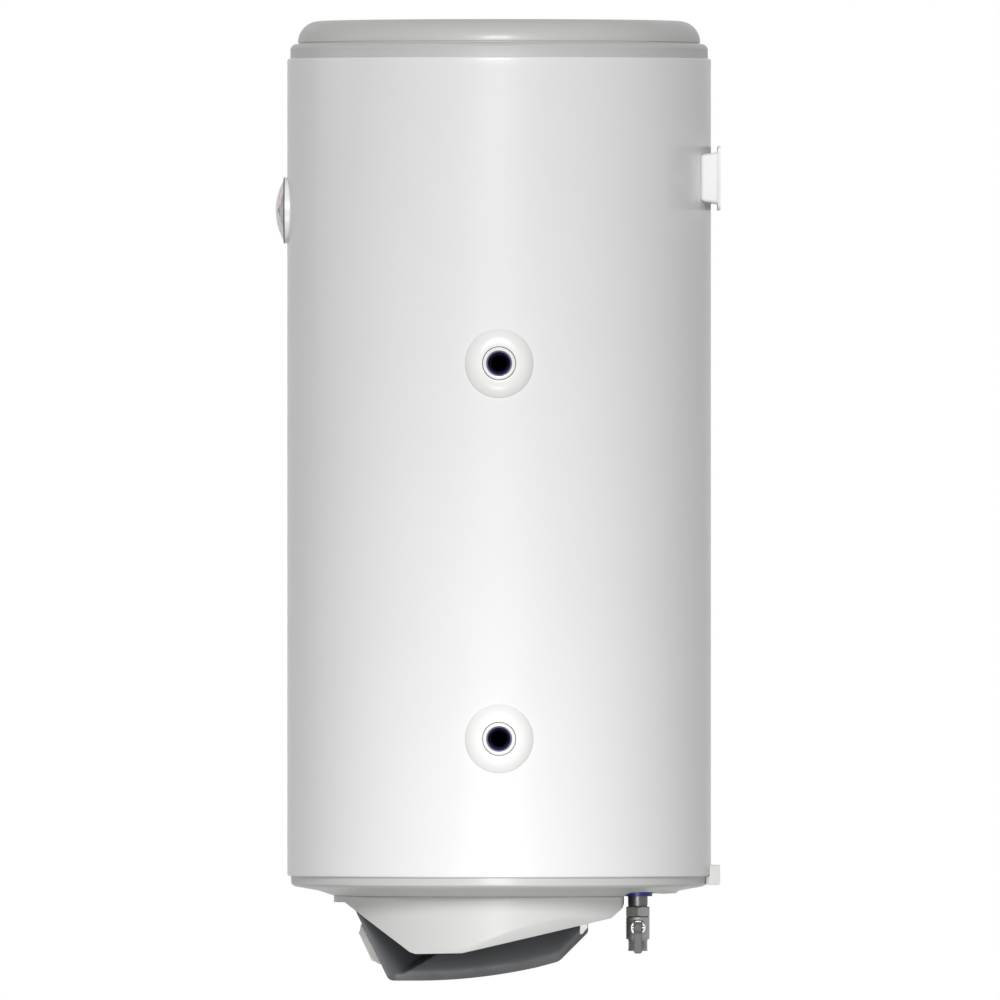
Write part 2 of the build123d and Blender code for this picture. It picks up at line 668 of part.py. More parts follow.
def check_guide():
    """Spider that guides the poppet's stem and backs its spring."""
    solid = rod((COLD_X, PIPE_Y, -797), UP, 7.48, 2.0, bore=1.45)
    for i in range(4):
        turn = math.radians(45 + 90 * i)
        spot = (COLD_X + 4.4 * math.cos(turn), PIPE_Y + 4.4 * math.sin(turn), -798)
        solid = solid - rod(spot, UP, 1.6, 5)
    return solid


# ---- covers -------------------------------------------------------------------------


def electrical_cover():
    """Drum-shaped cover cut by one side outline, open above and in the middle below."""
    drum = rod((0, TANK_Y, -835), UP, COVER_R, 66.9)
    inside = rod((0, TANK_Y, -840), UP, COVER_R - COVER_WALL, 80)
    body = drum & sideways(COVER_EDGE, 200)
    hollow = Pos(0, 0, 3.1) * sideways(COVER_EDGE, 200)
    hollow = hollow & block((-200, 200), (-430, -104.0 - COVER_WALL), (-840, -760))
    opening = block((-88.4, 88.4), (-430, -140.0), (-840, -774.9))
    solid = body - (inside & hollow) - (inside & opening)
    for x, y in COVER_SCREW_AT:
        floor = -829.0
        pillar = rod((x, y, floor), UP, 6.5, -768.4 - floor) & sideways(COVER_EDGE, 200)
        solid = solid + pillar - rod((x, y, floor - 5), UP, 4.6, -776.0 - floor + 5)
        solid = solid - rod((x, y, floor), UP, SCREW_R + 0.2, 70)
    return solid - rod((GLAND_AT[0], -112, GLAND_AT[2]), TO_WALL, 4.6, 12)


def cover_screws():
    """Four screws that hold the electrical cover to the lower cap."""
    screws = []
    for x, y in COVER_SCREW_AT:
        screws.append(rod((x, y, -776), UP, SCREW_R, 20) + rod((x, y, -778.4), UP, 4.0, 2.4))
    return Compound(screws)


def control_outline(inset=0.0):
    """Side outline of the control cover in (Y, Z), moved inwards by an inset."""
    top = -775.2
    front = (-394.0 + inset * 1.1, top)
    lower = (-354.4 + inset * 0.63, -858.4 + inset)
    belly = (-325.0, -858.4 + inset)
    belly_mid = (-258.0 - 0.1 * inset, -854.6 + inset)
    tail = (-195.4 - 0.38 * inset, -844.0 + inset)
    heel = (-172.4 - 0.7 * inset, -837.8 + 0.7 * inset)
    rear = (-141.3 - inset, -806.7 + 0.3 * inset)
    lip = (-141.3 - inset, -797.3)
    return (
        Polyline(lip, (-141.3 - inset, top), front, lower, belly)
        + ThreePointArc(belly, belly_mid, tail)
        + Polyline(tail, heel, rear, lip)
    )


def control_cover():
    """Nose-shaped cover: sloped panel, bowed belly and a dished pocket in each side."""
    wall = 2.5
    drum = rod((0, TANK_Y, -870), UP, COVER_R - COVER_WALL - 0.4, 100)
    face = Plane.YZ * make_face(control_outline())
    solid = extrude(face, CONTROL_HALF, both=True)
    nose = solid.edges().filter_by(Axis.X).group_by(Axis.Z)[0].sort_by(Axis.Y)[0]
    solid = fillet(nose, 8.0)
    upper = block((-100, 100), (-430, -120), (-785.6, -770))
    solid = solid - (upper - drum)
    inner_face = Plane.YZ * make_face(control_outline(wall))
    solid = solid - extrude(inner_face, 69.5, both=True)
    solid = solid - block((-69.5, 69.5), (-388.5, -144), (-778, -770))
    mouth = [(-384.0, -781.0), (-352.0, -850.0), (-300.0, -854.0), (-200.0, -839.5),
             (-150.0, -798.0), (-150.0, -765.0), (-392.0, -765.0)]
    floor = [(-367.0, -781.0), (-340.0, -838.0), (-300.0, -842.0), (-210.0, -827.0),
             (-165.0, -790.0), (-165.0, -765.0), (-374.0, -765.0)]
    for side in (-1, 1):
        near = Plane.YZ.offset(side * (CONTROL_HALF + 0.01)) * make_face(
            Polyline(*mouth, close=True)
        )
        deep = Plane.YZ.offset(side * 72.0) * make_face(Polyline(*floor, close=True))
        solid = solid - loft([near, deep], ruled=True)
    solid = solid - (FACE_PLANE * Pos(0, 0, -10) * Cylinder(5.1, 30))
    return solid - (FACE_PLANE * Pos(LAMP_X, 0, -10) * Cylinder(5.1, 30))


def cover_hook_lugs():
    """Two light-coloured lugs that latch the control cover's tail from outside."""
    lugs = []
    for x in (-CONTROL_HALF - 2.1, CONTROL_HALF + 2.1):
        outline = Polyline((-150.2, -798.9), (-141.9, -797.0), (-141.9, -801.5),
                           (-147.6, -808.5), (-150.2, -808.5), close=True)
        lugs.append(extrude(Plane.YZ.offset(x) * make_face(outline), 1.5, both=True))
    return Compound(lugs)


# ---- controls -----------------------------------------------------------------------
def on_face(shape):
    """Places a shape made at the origin, +Z outwards, on the control panel."""
    return FACE_PLANE * shape


def control_knob():
    """Conical knob with a grip bar and a hollow back."""
    base_z, shoulder, crown = 0.5, 6.2, 7.8
    outline = Polyline(
        (2.95, base_z + 4.1), (12.0, base_z + 4.1), (12.0, base_z), (23.75, base_z), (23.4, 2.0),
        (18.4, shoulder - 0.5), (17.6, shoulder), (0, shoulder), (0, shoulder - 0.4),
        (2.95, shoulder - 0.4), close=True,
    )
    solid = revolve(Plane.XZ * make_face(outline), Axis.Z, 360)
    bar = Pos(0, 0, (crown + 4.0) / 2) * Box(7.0, 35.0, crown - 4.0)
    bar = fillet(bar.edges().group_by(Axis.Z)[-1], 1.2) & Cylinder(18.2, 40)
    bar = bar - Pos(0, 0, 4.5) * Cylinder(2.95, 2.6)
    return on_face(solid + bar)


def thermostat_shaft():
    """Spindle that the knob turns."""
    return on_face(Pos(0, 0, -9) * extrude(Circle(2.94), 14.7))


def thermostat_body():
    """Thermostat with its threaded bush."""
    case = block((-19, 19), (-19, 19), (-36, -2.9))
    case = fillet(case.edges().filter_by(Axis.Z), 2.0)
    bush = extrude(Circle(5.0), 6.0)
    solid = case + Pos(0, 0, -2.9) * bush - Pos(0, 0, -11) * extrude(Circle(3.0), 20)
    return on_face(solid)


def thermostat_nut():
    """Panel nut on the bush."""
    section = RegularPolygon(7, 6, major_radius=False) - Circle(5.02)
    return on_face(Pos(0, 0, 0.15) * extrude(section, 2.5))


def thermostat_capillary():
    """Capillary and bulb, from the thermostat up into its dry tube."""
    x, y = PROBE_AT
    route = [(10, -331, -800), (10, -318, -800), (52, -318, -800), (52, y, -790), (x, y, -765),
             (x, y, -738)]
    tube = pipe_run(route, 1.0, 8.0)
    return tube + rod((x, y, -738), UP, 3.8, 120)


def component_bracket():
    """Folded plate under the anode's nut that holds the small parts."""
    ledge = block((-14, 14), (-290, -247), (PLATE_Z - 1.5, PLATE_Z))
    leg = block((-45, 45), (-291.5, -290), (-800, PLATE_Z))
    solid = ledge + leg - block((-50, -14), (-295, -285), (-752, -720))
    solid = solid - block((14, 50), (-295, -285), (-752, -720))
    return solid - rod((*ANODE_AT, -740), UP, M8, 12)


def terminal_block():
    """Three-way block on the bracket."""
    base = block((-42, -6), (-307, -291.5), (-796, -768))
    for i in range(3):
        base = base - rod((-36 + 12 * i, -308, -776), TO_WALL, 2.4, 7)
        base = base - rod((-36 + 12 * i, -308, -788), TO_WALL, 2.4, 7)
    return base


def thermal_cutout():
    """Safety cut-out with a guide for its reset button."""
    case = block((8, 40), (-309, -291.5), (-796, -768))
    neck = rod((24, -313, -782), TO_WALL, 4.5, 4.0)
    return case + neck - rod((24, -314, -782), TO_WALL, 2.55, 15)


def reset_button():
    """Push button of the cut-out."""
    return rod((24, -315.5, -782), TO_WALL, 2.5, 11.5)


def pilot_lamp():
    """Lamp body behind the panel with its lens in front."""
    stem = Pos(LAMP_X, 0, -16) * Cylinder(5.0, 32, align=(Align.CENTER, Align.CENTER, Align.MIN))
    dome = Pos(LAMP_X, 0, 0.1) * Cylinder(6.6, 1.9, align=(Align.CENTER, Align.CENTER, Align.MIN))
    body = stem & Pos(LAMP_X, 0, -8) * Box(20, 20, 16.4)
    dome = fillet(dome.edges().group_by(Axis.Z)[-1], 1.2)
    return on_face(body + dome)


def internal_wires():
    """Insulated wires between the block, the element and the cut-out."""
    (x0, y0), (x1, y1) = ELEMENT_LEGS
    wires = [
        [(x0, y0, -757), (x0, y0, -772), (-32, -262, -800), (-32, -299, -808), (-32, -299, -796)],
        [(x1, y1, -757), (x1, y1, -772), (34, -262, -802), (34, -300, -810), (34, -300, -796)],
        [(-20, -299, -796), (-20, -299, -812), (-10, -320, -822), (-8, -334, -815)],
    ]
    return Compound([pipe_run(points, 1.3, 5.0) for points in wires])


def cable_gland():
    """Rubber bush for the mains cable in the rear wall of the cover."""
    x, y, z = GLAND_AT
    solid = rod((x, y - 4.5, z), TO_WALL, 4.55, 5.8, bore=3.6)
    return solid + rod((x, y + 0.05, z), TO_WALL, 5.3, 1.4, bore=3.6)


# ---- the assembly -------------------------------------------------------------------
def lower_dished_end():
    """Lower end with the neck opening and the two pipe holes."""
    solid = dish(SHELL_LOW, -1, hole=60.0)
    for x, radius in ((COLD_X, PIPE_R), (HOT_X, 10.1)):
        solid = solid - rod((x, PIPE_Y, -720), UP, radius, 90)
    return solid


def build_parts():
    """All sub-parts by name."""
    parts["casing"] = casing()
    parts["top_cap"] = top_cap()
    parts["bottom_cap"] = bottom_cap()
    parts["insulation"] = insulation()
    parts["tank_shell"] = tank_shell()
    parts["upper_dished_end"] = dish(SHELL_HIGH, 1)
    parts["lower_dished_end"] = lower_dished_end()
    parts["heat_exchanger_coil"] = heat_exchanger_coil()
    for name, z in zip(("lower", "upper"), COIL_Z):
        parts[name + "_coil_socket"] = coil_socket(z)
        parts[name + "_coil_rosette"] = coil_rosette(z)
    parts["wall_bracket"] = wall_bracket()
    parts["bracket_studs"] = bracket_studs()
    parts["lower_spacer"] = lower_spacer()
    parts["thermometer_bezel"] = thermometer_bezel()
    parts["thermometer_dial"] = thermometer_dial()
    parts["thermometer_pointer"] = thermometer_pointer()
    parts["thermometer_lens"] = thermometer_lens()
    parts["thermometer_capillary"] = thermometer_capillary()
    parts["sensor_pocket"] = sensor_pocket()
    parts["flange_collar"] = flange_collar()
    parts["flange_studs"] = flange_studs()
    parts["flange_gasket"] = flange_gasket()
    parts["flange_plate"] = flange_plate()
    parts["m8_nuts"] = m8_nuts()
    parts["heating_element"] = heating_element()
    parts["element_terminals"] = element_terminals()
    parts["anode_rod"] = anode_rod()
    parts["thermostat_pocket"] = thermostat_pocket()
    parts["cold_inlet_pipe"] = cold_inlet_pipe()
    parts["hot_outlet_pipe"] = hot_outlet_pipe()
    parts["cold_collar"] = pipe_collar(COLD_X)
    parts["hot_collar"] = pipe_collar(HOT_X)
    parts["valve_body"] = valve_body()
    parts["valve_bonnet"] = valve_bonnet()
    parts["relief_stem"] = relief_stem()
    parts["relief_seat_disc"] = rod((64.0, PIPE_Y, RELIEF_Z), TO_RIGHT, 5.4, 2.0)
    parts["relief_spring"] = coil_spring((67.65, PIPE_Y, RELIEF_Z), TO_RIGHT, 4.4, 0.4, 6.4, 4)
    parts["valve_lever"] = valve_lever()
    parts["lever_pin"] = lever_pin()
    parts["check_poppet"] = check_poppet()
    parts["check_spring"] = coil_spring((COLD_X, PIPE_Y, -808.35), UP, 4.6, 0.4, 10.9, 5)
    parts["check_guide"] = check_guide()
    parts["electrical_cover"] = electrical_cover()
    parts["control_cover"] = control_cover()
    parts["cover_screws"] = cover_screws()
    parts["cover_hook_lugs"] = cover_hook_lugs()
    parts["control_knob"] = control_knob()
    parts["thermostat_shaft"] = thermostat_shaft()
    parts["thermostat_body"] = thermostat_body()
    parts["thermostat_nut"] = thermostat_nut()
    parts["thermostat_capillary"] = thermostat_capillary()
    parts["component_bracket"] = component_bracket()
    parts["thermal_cutout"] = thermal_cutout()
    parts["reset_button"] = reset_button()
    parts["pilot_lamp"] = pilot_lamp()
    parts["terminal_block"] = terminal_block()
    parts["internal_wires"] = internal_wires()
    parts["cable_gland"] = cable_gland()


build_parts()
os.makedirs("parts", exist_ok=True)
for name, shape in parts.items():
    export_step(shape, f"parts/{name}.step")
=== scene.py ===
import json
import logging
import math
from dataclasses import dataclass
from enum import Enum
from typing import Callable, Sequence

import bmesh
import bpy
import numpy as np
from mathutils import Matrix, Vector


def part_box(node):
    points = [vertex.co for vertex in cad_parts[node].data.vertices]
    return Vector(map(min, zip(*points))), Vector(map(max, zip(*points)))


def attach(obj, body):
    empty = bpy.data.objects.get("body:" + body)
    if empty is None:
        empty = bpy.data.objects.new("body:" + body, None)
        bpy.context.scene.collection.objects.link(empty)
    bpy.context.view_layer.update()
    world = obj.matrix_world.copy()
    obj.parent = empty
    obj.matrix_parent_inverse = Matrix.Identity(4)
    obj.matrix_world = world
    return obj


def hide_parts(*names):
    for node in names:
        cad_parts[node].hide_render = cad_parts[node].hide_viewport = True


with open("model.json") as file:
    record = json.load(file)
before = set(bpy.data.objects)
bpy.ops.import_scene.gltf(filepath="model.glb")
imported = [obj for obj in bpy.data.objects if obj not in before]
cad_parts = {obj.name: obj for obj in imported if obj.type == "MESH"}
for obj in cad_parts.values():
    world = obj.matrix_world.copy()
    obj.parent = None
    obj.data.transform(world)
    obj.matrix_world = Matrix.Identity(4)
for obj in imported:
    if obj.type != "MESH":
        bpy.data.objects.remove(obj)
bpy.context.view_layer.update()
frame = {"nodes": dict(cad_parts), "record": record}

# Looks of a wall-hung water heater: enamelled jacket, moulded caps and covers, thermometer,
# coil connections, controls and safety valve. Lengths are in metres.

Array = np.ndarray
MM = 0.001
SHARP = math.radians(32)  # edges that turn by more than this stay sharp
SENSOR = 36.0  # width of the camera's sensor, in millimetres
CLOUD, WEAR = (9.0, 3.0), (45.0, 4.0)  # scale and detail of the slow and the fast noise
HAZE, PAPER = (140.0, 3.0), (900.0, 4.0)  # the same for clear plastic and for the dial
NOISE_RANGE = (0.3, 0.7)  # between which a noise's values mostly lie
SCREW_X, SCREW_Y = 130.0, (-205.0, -290.0)  # screws of the service cover, in millimetres
SMOOTHEST = 0.02  # lowest roughness of any finish
GRAIN_DEPTH = 0.3  # height of a grain as a share of its size
LOG = logging.getLogger("heater")


# ======================================================================= places
def node_centre(name: str) -> Array:
    """Middle of a CAD node's box."""
    low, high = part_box(name)
    return (np.array(low) + np.array(high)) / 2


def node_low(name: str) -> Array:
    """Lowest corner of a CAD node's box."""
    return np.array(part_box(name)[0])


def node_high(name: str) -> Array:
    """Highest corner of a CAD node's box."""
    return np.array(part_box(name)[1])


CASE_LOW, CASE_HIGH = node_low("casing"), node_high("casing")
TANK = node_centre("casing")[:2]
CASE_R = float(CASE_HIGH[1] - CASE_LOW[1]) / 2


@dataclass(frozen=True)
class Axes:
    """A right-handed local frame.

    Attributes:
        origin: where it stands
        u: first direction across the axis
        v: second direction across the axis
        w: direction of the axis
    """

    origin: tuple[float, ...]
    u: tuple[float, ...]
    v: tuple[float, ...]
    w: tuple[float, ...]

    def place(self, local: Array) -> Array:
        """Points of the local frame, as points of the row frame."""
        return np.asarray(self.origin) + local @ np.array([self.u, self.v, self.w])


def upright(x: float, y: float, z: float = 0.0) -> Axes:
    """Axes along the row frame's own, standing at a point."""
    return Axes((x, y, z), (1, 0, 0), (0, 1, 0), (0, 0, 1))


def facing_right(x: float, y: float, z: float) -> Axes:
    """Axes whose axis points to +X."""
    return Axes((x, y, z), (0, 1, 0), (0, 0, 1), (1, 0, 0))


def facing_left(x: float, y: float, z: float) -> Axes:
    """Axes whose axis points to -X."""
    return Axes((x, y, z), (0, -1, 0), (0, 0, 1), (-1, 0, 0))


def facing_front(x: float, y: float, z: float) -> Axes:
    """Axes whose axis points to -Y, with +Z upwards as seen from there."""
    return Axes((x, y, z), (1, 0, 0), (0, 0, 1), (0, -1, 0))


TANK_AXES = upright(float(TANK[0]), float(TANK[1]))


# ======================================================================= surfaces
def smooth_step(low: float, high: float, value: Array) -> Array:
    """Cubic ramp from 0 at low to 1 at high."""
    t = np.clip((value - low) / (high - low), 0.0, 1.0)
    return t * t * (3 - 2 * t)


def rounded(points: Sequence[tuple[float, ...]], steps: int = 5) -> Array:
    """A polyline with its corners turned into arcs.

    Each corner is replaced by a quadratic curve that leaves the incoming run and joins the
    outgoing one at the corner's own distance, (1-t)^2 A + 2t(1-t) P + t^2 B.

    Args:
        points: (r, h) or (r, h, corner distance) in millimetres
        steps: spans in each corner

    Returns:
        array of (r, h) in metres
    """
    raw = [np.array(p[:2], float) for p in points]
    cut = [p[2] if len(p) > 2 else 0.0 for p in points]
    t = np.linspace(0, 1, steps + 1)[:, None]
    out = [raw[0][None]]
    for before, corner, after, size in zip(raw, raw[1:], raw[2:], cut[1:-1]):
        if size <= 0:
            out.append(corner[None])
            continue
        a = corner + (before - corner) / np.linalg.norm(before - corner) * size
        b = corner + (after - corner) / np.linalg.norm(after - corner) * size
        out.append((1 - t) ** 2 * a + 2 * t * (1 - t) * corner + t**2 * b)
    out.append(raw[-1][None])
    return np.concatenate(out) * MM


def subdivided(profile: Array, longest: float) -> Array:
    """Adds even points to the spans of a profile that are longer than a length in metres.

    Args:
        profile: (r, h) points, in metres
        longest: span that needs no more points, in metres

    Returns:
        the profile with its added points
    """
    spans = np.linalg.norm(np.diff(profile, axis=0), axis=1)
    pieces = [
        np.linspace(a, b, max(1, math.ceil(s / longest)), endpoint=False)
        for a, b, s in zip(profile, profile[1:], spans)
    ]
    return np.concatenate(pieces + [profile[-1:]])


def grid_quads(rows: int, columns: int, wrap_rows: bool, wrap_columns: bool) -> Array:
    """Quads of a grid whose vertices are stored row by row.

    Args:
        rows: vertices down
        columns: vertices across
        wrap_rows: whether the last row joins the first
        wrap_columns: whether the last column joins the first

    Returns:
        (n, 4) vertex indices
    """
    i = np.arange(rows if wrap_rows else rows - 1)[:, None]
    j = np.arange(columns if wrap_columns else columns - 1)[None, :]
    i2, j2 = (i + 1) % rows, (j + 1) % columns
    quads = np.stack(
        [i * columns + j, i * columns + j2, i2 * columns + j2, i2 * columns + j], axis=-1
    )
    return quads.reshape(-1, 4)


class Shape:
    """Vertices and faces gathered from several surfaces, with a finish number per face."""

    def __init__(self) -> None:
        """Starts empty."""
        self.points: list[Array] = []
        self.faces: list[Array] = []
        self.slots: list[Array] = []
        self.count = 0

    def add(self, points: Array, quads: Array, slot: int = 0) -> "Shape":
        """Adds one surface.

        Args:
            points: (n, 3) in metres
            quads: (m, 4) indices into points
            slot: number of the finish its faces take

        Returns:
            this shape
        """
        self.points.append(points.reshape(-1, 3))
        self.faces.append(quads + self.count)
        self.slots.append(np.full(len(quads), slot, np.int32))
        self.count += len(self.points[-1])
        return self

    def grid(self, points: Array, wrap_rows: bool = False, wrap_columns: bool = False,
             slot: int = 0) -> "Shape":
        """Adds a surface given as a (rows, columns, 3) array of points.

        Args:
            points: (rows, columns, 3) in metres
            wrap_rows: whether the last row joins the first
            wrap_columns: whether the last column joins the first
            slot: number of the finish its faces take

        Returns:
            this shape
        """
        rows, columns = points.shape[:2]
        return self.add(points, grid_quads(rows, columns, wrap_rows, wrap_columns), slot)

    def turned(self, profile: Array, axes: Axes = TANK_AXES, segments: int = 96,
               closed: bool = False, slot: int = 0) -> "Shape":
        """Adds a turned surface: (r cos a, r sin a, h) for every (r, h) and angle a.

        Args:
            profile: (r, h) points, in metres
            axes: of the turning
            segments: round the circle
            closed: whether the last point joins the first
            slot: number of the finish its faces take

        Returns:
            this shape
        """
        a = np.linspace(0, 2 * np.pi, segments, endpoint=False)
        r, h = profile[:, 0][:, None], profile[:, 1][:, None]
        local = np.stack([r * np.cos(a), r * np.sin(a), h + 0 * a], axis=-1)
        return self.grid(axes.place(local), closed, True, slot)

    def mesh(self, name: str, weld: float = 1e-6, outwards: bool = True) -> bpy.types.Object:
        """Makes the Blender object.

        Args:
            name: of the object and its mesh
            weld: distance within which vertices are merged
            outwards: whether normals are worked out again after the merge

        Returns:
            the new object, at the origin
        """
        data = bpy.data.meshes.new(name)
        data.from_pydata(np.concatenate(self.points).tolist(), [],
                         np.concatenate(self.faces).tolist())
        data.polygons.foreach_set("material_index", np.concatenate(self.slots))
        tidy = bmesh.new()
        tidy.from_mesh(data)
        bmesh.ops.remove_doubles(tidy, verts=tidy.verts, dist=weld)
        bmesh.ops.dissolve_degenerate(tidy, edges=tidy.edges, dist=weld)
        if outwards:
            bmesh.ops.recalc_face_normals(tidy, faces=tidy.faces)
        tidy.to_mesh(data)
        tidy.free()
        return shaded(name, data)


def shaded(name: str, data: bpy.types.Mesh) -> bpy.types.Object:
    """Shades a mesh smooth between its sharp edges and puts it in the scene.

    Args:
        name: of the object
        data: its mesh

    Returns:
        the new object, at the origin
    """
    data.shade_smooth()
    data.set_sharp_from_angle(angle=SHARP)
    piece = bpy.data.objects.new(name, data)
    bpy.context.scene.collection.objects.link(piece)
    return piece


@dataclass(frozen=True)
class Hole:
    """A round hole in a gridded surface.

    Attributes:
        centre: in the surface's flat coordinates
        radius: in metres
        rows: first and last grid row of the patch that is cut out
        columns: first and last grid column of the patch
    """

    centre: tuple[float, float]
    radius: float
    rows: tuple[int, int]
    columns: tuple[int, int]


def holed_grid(shape: Shape, flat: Array, fold: Callable[[Array], Array],
               holes: Sequence[Hole], wrap: bool = False, period: float = 0.0,
               rings: int = 6) -> list[Array]:
    """Adds a surface with round holes.

    The flat grid loses each hole's patch of cells, and the gap is filled by the blend
    (1-t) C + t S, where S runs round the patch's edge and C is the point of the hole's
    circle in the same direction. fold then bends the flat points into space.

    Args:
        shape: that takes the surface
        flat: (rows, columns, 2) points in flat coordinates
        fold: from (..., 2) flat points to (..., 3) points
        holes: to cut
        wrap: whether the last column joins the first
        period: distance round, where the first flat coordinate starts again
        rings: rows of faces round each hole

    Returns:
        each hole's edge, in flat coordinates
    """
    rows, columns = flat.shape[:2]
    edges = []
    keep = np.ones((rows - 1, columns if wrap else columns - 1), bool)
    for hole in holes:
        (r0, r1), (c0, c1) = hole.rows, hole.columns
        keep[r0:r1, np.arange(c0, c1) % keep.shape[1]] = False
    quads = grid_quads(rows, columns, False, wrap)[keep.reshape(-1)]
    shape.add(fold(flat), quads)
    for hole in holes:
        (r0, r1), (c0, c1) = hole.rows, hole.columns
        down, across = np.arange(r0, r1), np.arange(c0, c1)
        i = np.concatenate([np.full(c1 - c0, r0), down, np.full(c1 - c0, r1), down[::-1] + 1])
        j = np.concatenate([across, np.full(r1 - r0, c1), across[::-1] + 1, np.full(r1 - r0, c0)])
        edge = flat[i, j % columns]
        centre = np.array(hole.centre)
        if period:
            edge[:, 0] = centre[0] + (edge[:, 0] - centre[0] + period / 2) % period - period / 2
        way = edge - centre
        circle = centre + hole.radius * way / np.linalg.norm(way, axis=1, keepdims=True)
        t = np.linspace(0, 1, rings + 1)[:, None, None] ** 1.3
        shape.grid(fold((1 - t) * circle + t * edge), False, True)
        edges.append(circle)
    return edges


def carried_copy(node: str, name: str) -> bpy.types.Object:
    """A welded copy of a CAD node's mesh, for a bevel or another finish.

    Args:
        node: name of the CAD node
        name: of the copy

    Returns:
        the new object, at the origin
    """
    data = frame["nodes"][node].data.copy()
    data.name = name
    tidy = bmesh.new()
    tidy.from_mesh(data)
    bmesh.ops.remove_doubles(tidy, verts=tidy.verts, dist=1e-6)
    bmesh.ops.dissolve_limit(tidy, angle_limit=math.radians(1.0), verts=tidy.verts,
                             edges=tidy.edges)
    bmesh.ops.recalc_face_normals(tidy, faces=tidy.faces)
    tidy.to_mesh(data)
    tidy.free()
    own = data.attributes.get("custom_normal")
    if own:
        data.attributes.remove(own)
    data.materials.clear()
    return shaded(name, data)


def bevel(piece: bpy.types.Object, width: float, segments: int = 3, angle: float = 30.0) -> None:
    """Rounds a piece's sharp edges; width in metres, angle in degrees.

    Args:
        piece: to round
        width: of the rounding, in metres
        segments: across it
        angle: that counts as sharp, in degrees
    """
    step = piece.modifiers.new("edge_round", "BEVEL")
    step.width = width
    step.segments = segments
    step.limit_method = "ANGLE"
    step.angle_limit = math.radians(angle)
    step.harden_normals = False


def thicken(piece: bpy.types.Object, wall: float) -> None:
    """Gives a surface its wall, inwards.

    Args:
        piece: a surface without thickness
        wall: thickness in metres
    """
    step = piece.modifiers.new("wall", "SOLIDIFY")
    step.thickness = wall
    step.offset = -1.0
    step.use_even_offset = False


# ======================================================================= finishes
class Grain(Enum):
    """How a finish's fine relief runs."""

    PEEL = "orange peel of sprayed or stoved paint"
    SPARK = "fine spark-eroded texture of moulded plastic"
    TURNED = "fine rings left by a lathe or a brush"
    CAST = "uneven skin of a casting or a forging"
    CELLS = "cut foam"


@dataclass(frozen=True)
class Finish:
    """A procedural material.

    Attributes:
        name: of the material
        colour: linear RGB
        roughness: of the base
        metallic: 0 or 1
        grain: kind of fine relief
        grain_size: of the relief, in millimetres
        relief: strength of the bump
        drift: how much the colour varies over the piece, as a share
        coat: weight of the clear coat
        sheen_drop: how much roughness varies, plus and minus
        glow: subsurface weight, for plastics that let some light through
        coat_roughness: of the clear coat
        glow_depth: how far light travels inside, in metres
    """

    name: str
    colour: tuple[float, float, float]
    roughness: float = 0.4
    metallic: float = 0.0
    grain: Grain = Grain.SPARK
    grain_size: float = 1.0
    relief: float = 0.05
    drift: float = 0.04
    coat: float = 0.0
    sheen_drop: float = 0.06
    glow: float = 0.0
    coat_roughness: float = 0.12
    glow_depth: float = 0.004

    def make(self) -> bpy.types.Material:
        """Builds the node tree: object-space relief, roughness and colour drift.

        Returns:
            the material
        """
        known = bpy.data.materials.get(self.name)
        if known:
            return known
        material, tree, shader, place = started(self.name)
        shader.inputs["Metallic"].default_value = self.metallic
        shader.inputs["Coat Weight"].default_value = self.coat
        shader.inputs["Coat Roughness"].default_value = self.coat_roughness
        shader.inputs["Subsurface Weight"].default_value = self.glow
        shader.inputs["Subsurface Radius"].default_value = (self.glow_depth,) * 3
        cloud = noise(tree, place, *CLOUD)
        dark = tuple(c * (1 - self.drift) for c in self.colour)
        light = tuple(min(1.0, c * (1 + self.drift * 0.5)) for c in self.colour)
        tree.links.new(ramp(tree, cloud, dark, light), shader.inputs["Base Color"])
        wear = noise(tree, place, *WEAR)
        tree.links.new(
            span(tree, wear, self.roughness - self.sheen_drop, self.roughness + self.sheen_drop),
            shader.inputs["Roughness"],
        )
        tree.links.new(self.bump(tree, place), shader.inputs["Normal"])
        return material

    def bump(self, tree: bpy.types.NodeTree, place: bpy.types.NodeSocket) -> bpy.types.NodeSocket:
        """The relief of this finish's grain, as a normal.

        Args:
            tree: that takes the nodes
            place: object coordinates

        Returns:
            the normal
        """
        scale = 1.0 / (self.grain_size * MM)
        if self.grain is Grain.TURNED:
            squeeze = tree.nodes.new("ShaderNodeMapping")
            squeeze.inputs["Scale"].default_value = (0.15, 0.15, 4.0)
            tree.links.new(place, squeeze.inputs["Vector"])
            height = noise(tree, squeeze.outputs["Vector"], scale, 3.0)
        elif self.grain is Grain.CELLS:
            cells = tree.nodes.new("ShaderNodeTexVoronoi")
            cells.inputs["Scale"].default_value = scale
            tree.links.new(place, cells.inputs["Vector"])
            height = cells.outputs["Distance"]
        else:
            detail = {Grain.PEEL: 1.0, Grain.SPARK: 5.0, Grain.CAST: 6.0}[self.grain]
            height = noise(tree, place, scale, detail)
        return raised(tree, height, self.relief, self.grain_size * MM * GRAIN_DEPTH)


def started(name: str) -> tuple[bpy.types.Material, bpy.types.NodeTree, bpy.types.Node,
                                bpy.types.NodeSocket]:
    """Starts a material.

    Args:
        name: of the material

    Returns:
        the material, its node tree, its shader and a socket with object coordinates
    """
    material = bpy.data.materials.new(name)
    material.use_nodes = True
    tree = material.node_tree
    shader = tree.nodes["Principled BSDF"]
    return material, tree, shader, tree.nodes.new("ShaderNodeTexCoord").outputs["Object"]


def raised(tree: bpy.types.NodeTree, height: bpy.types.NodeSocket, strength: float,
           distance: float) -> bpy.types.NodeSocket:
    """Adds a bump node.

    Args:
        tree: that takes the node
        height: of the relief
        strength: of the bump
        distance: that a height of 1 stands for, in metres

    Returns:
        its normal
    """
    node = tree.nodes.new("ShaderNodeBump")
    node.inputs["Strength"].default_value = strength
    node.inputs["Distance"].default_value = distance
    tree.links.new(height, node.inputs["Height"])
    return node.outputs["Normal"]


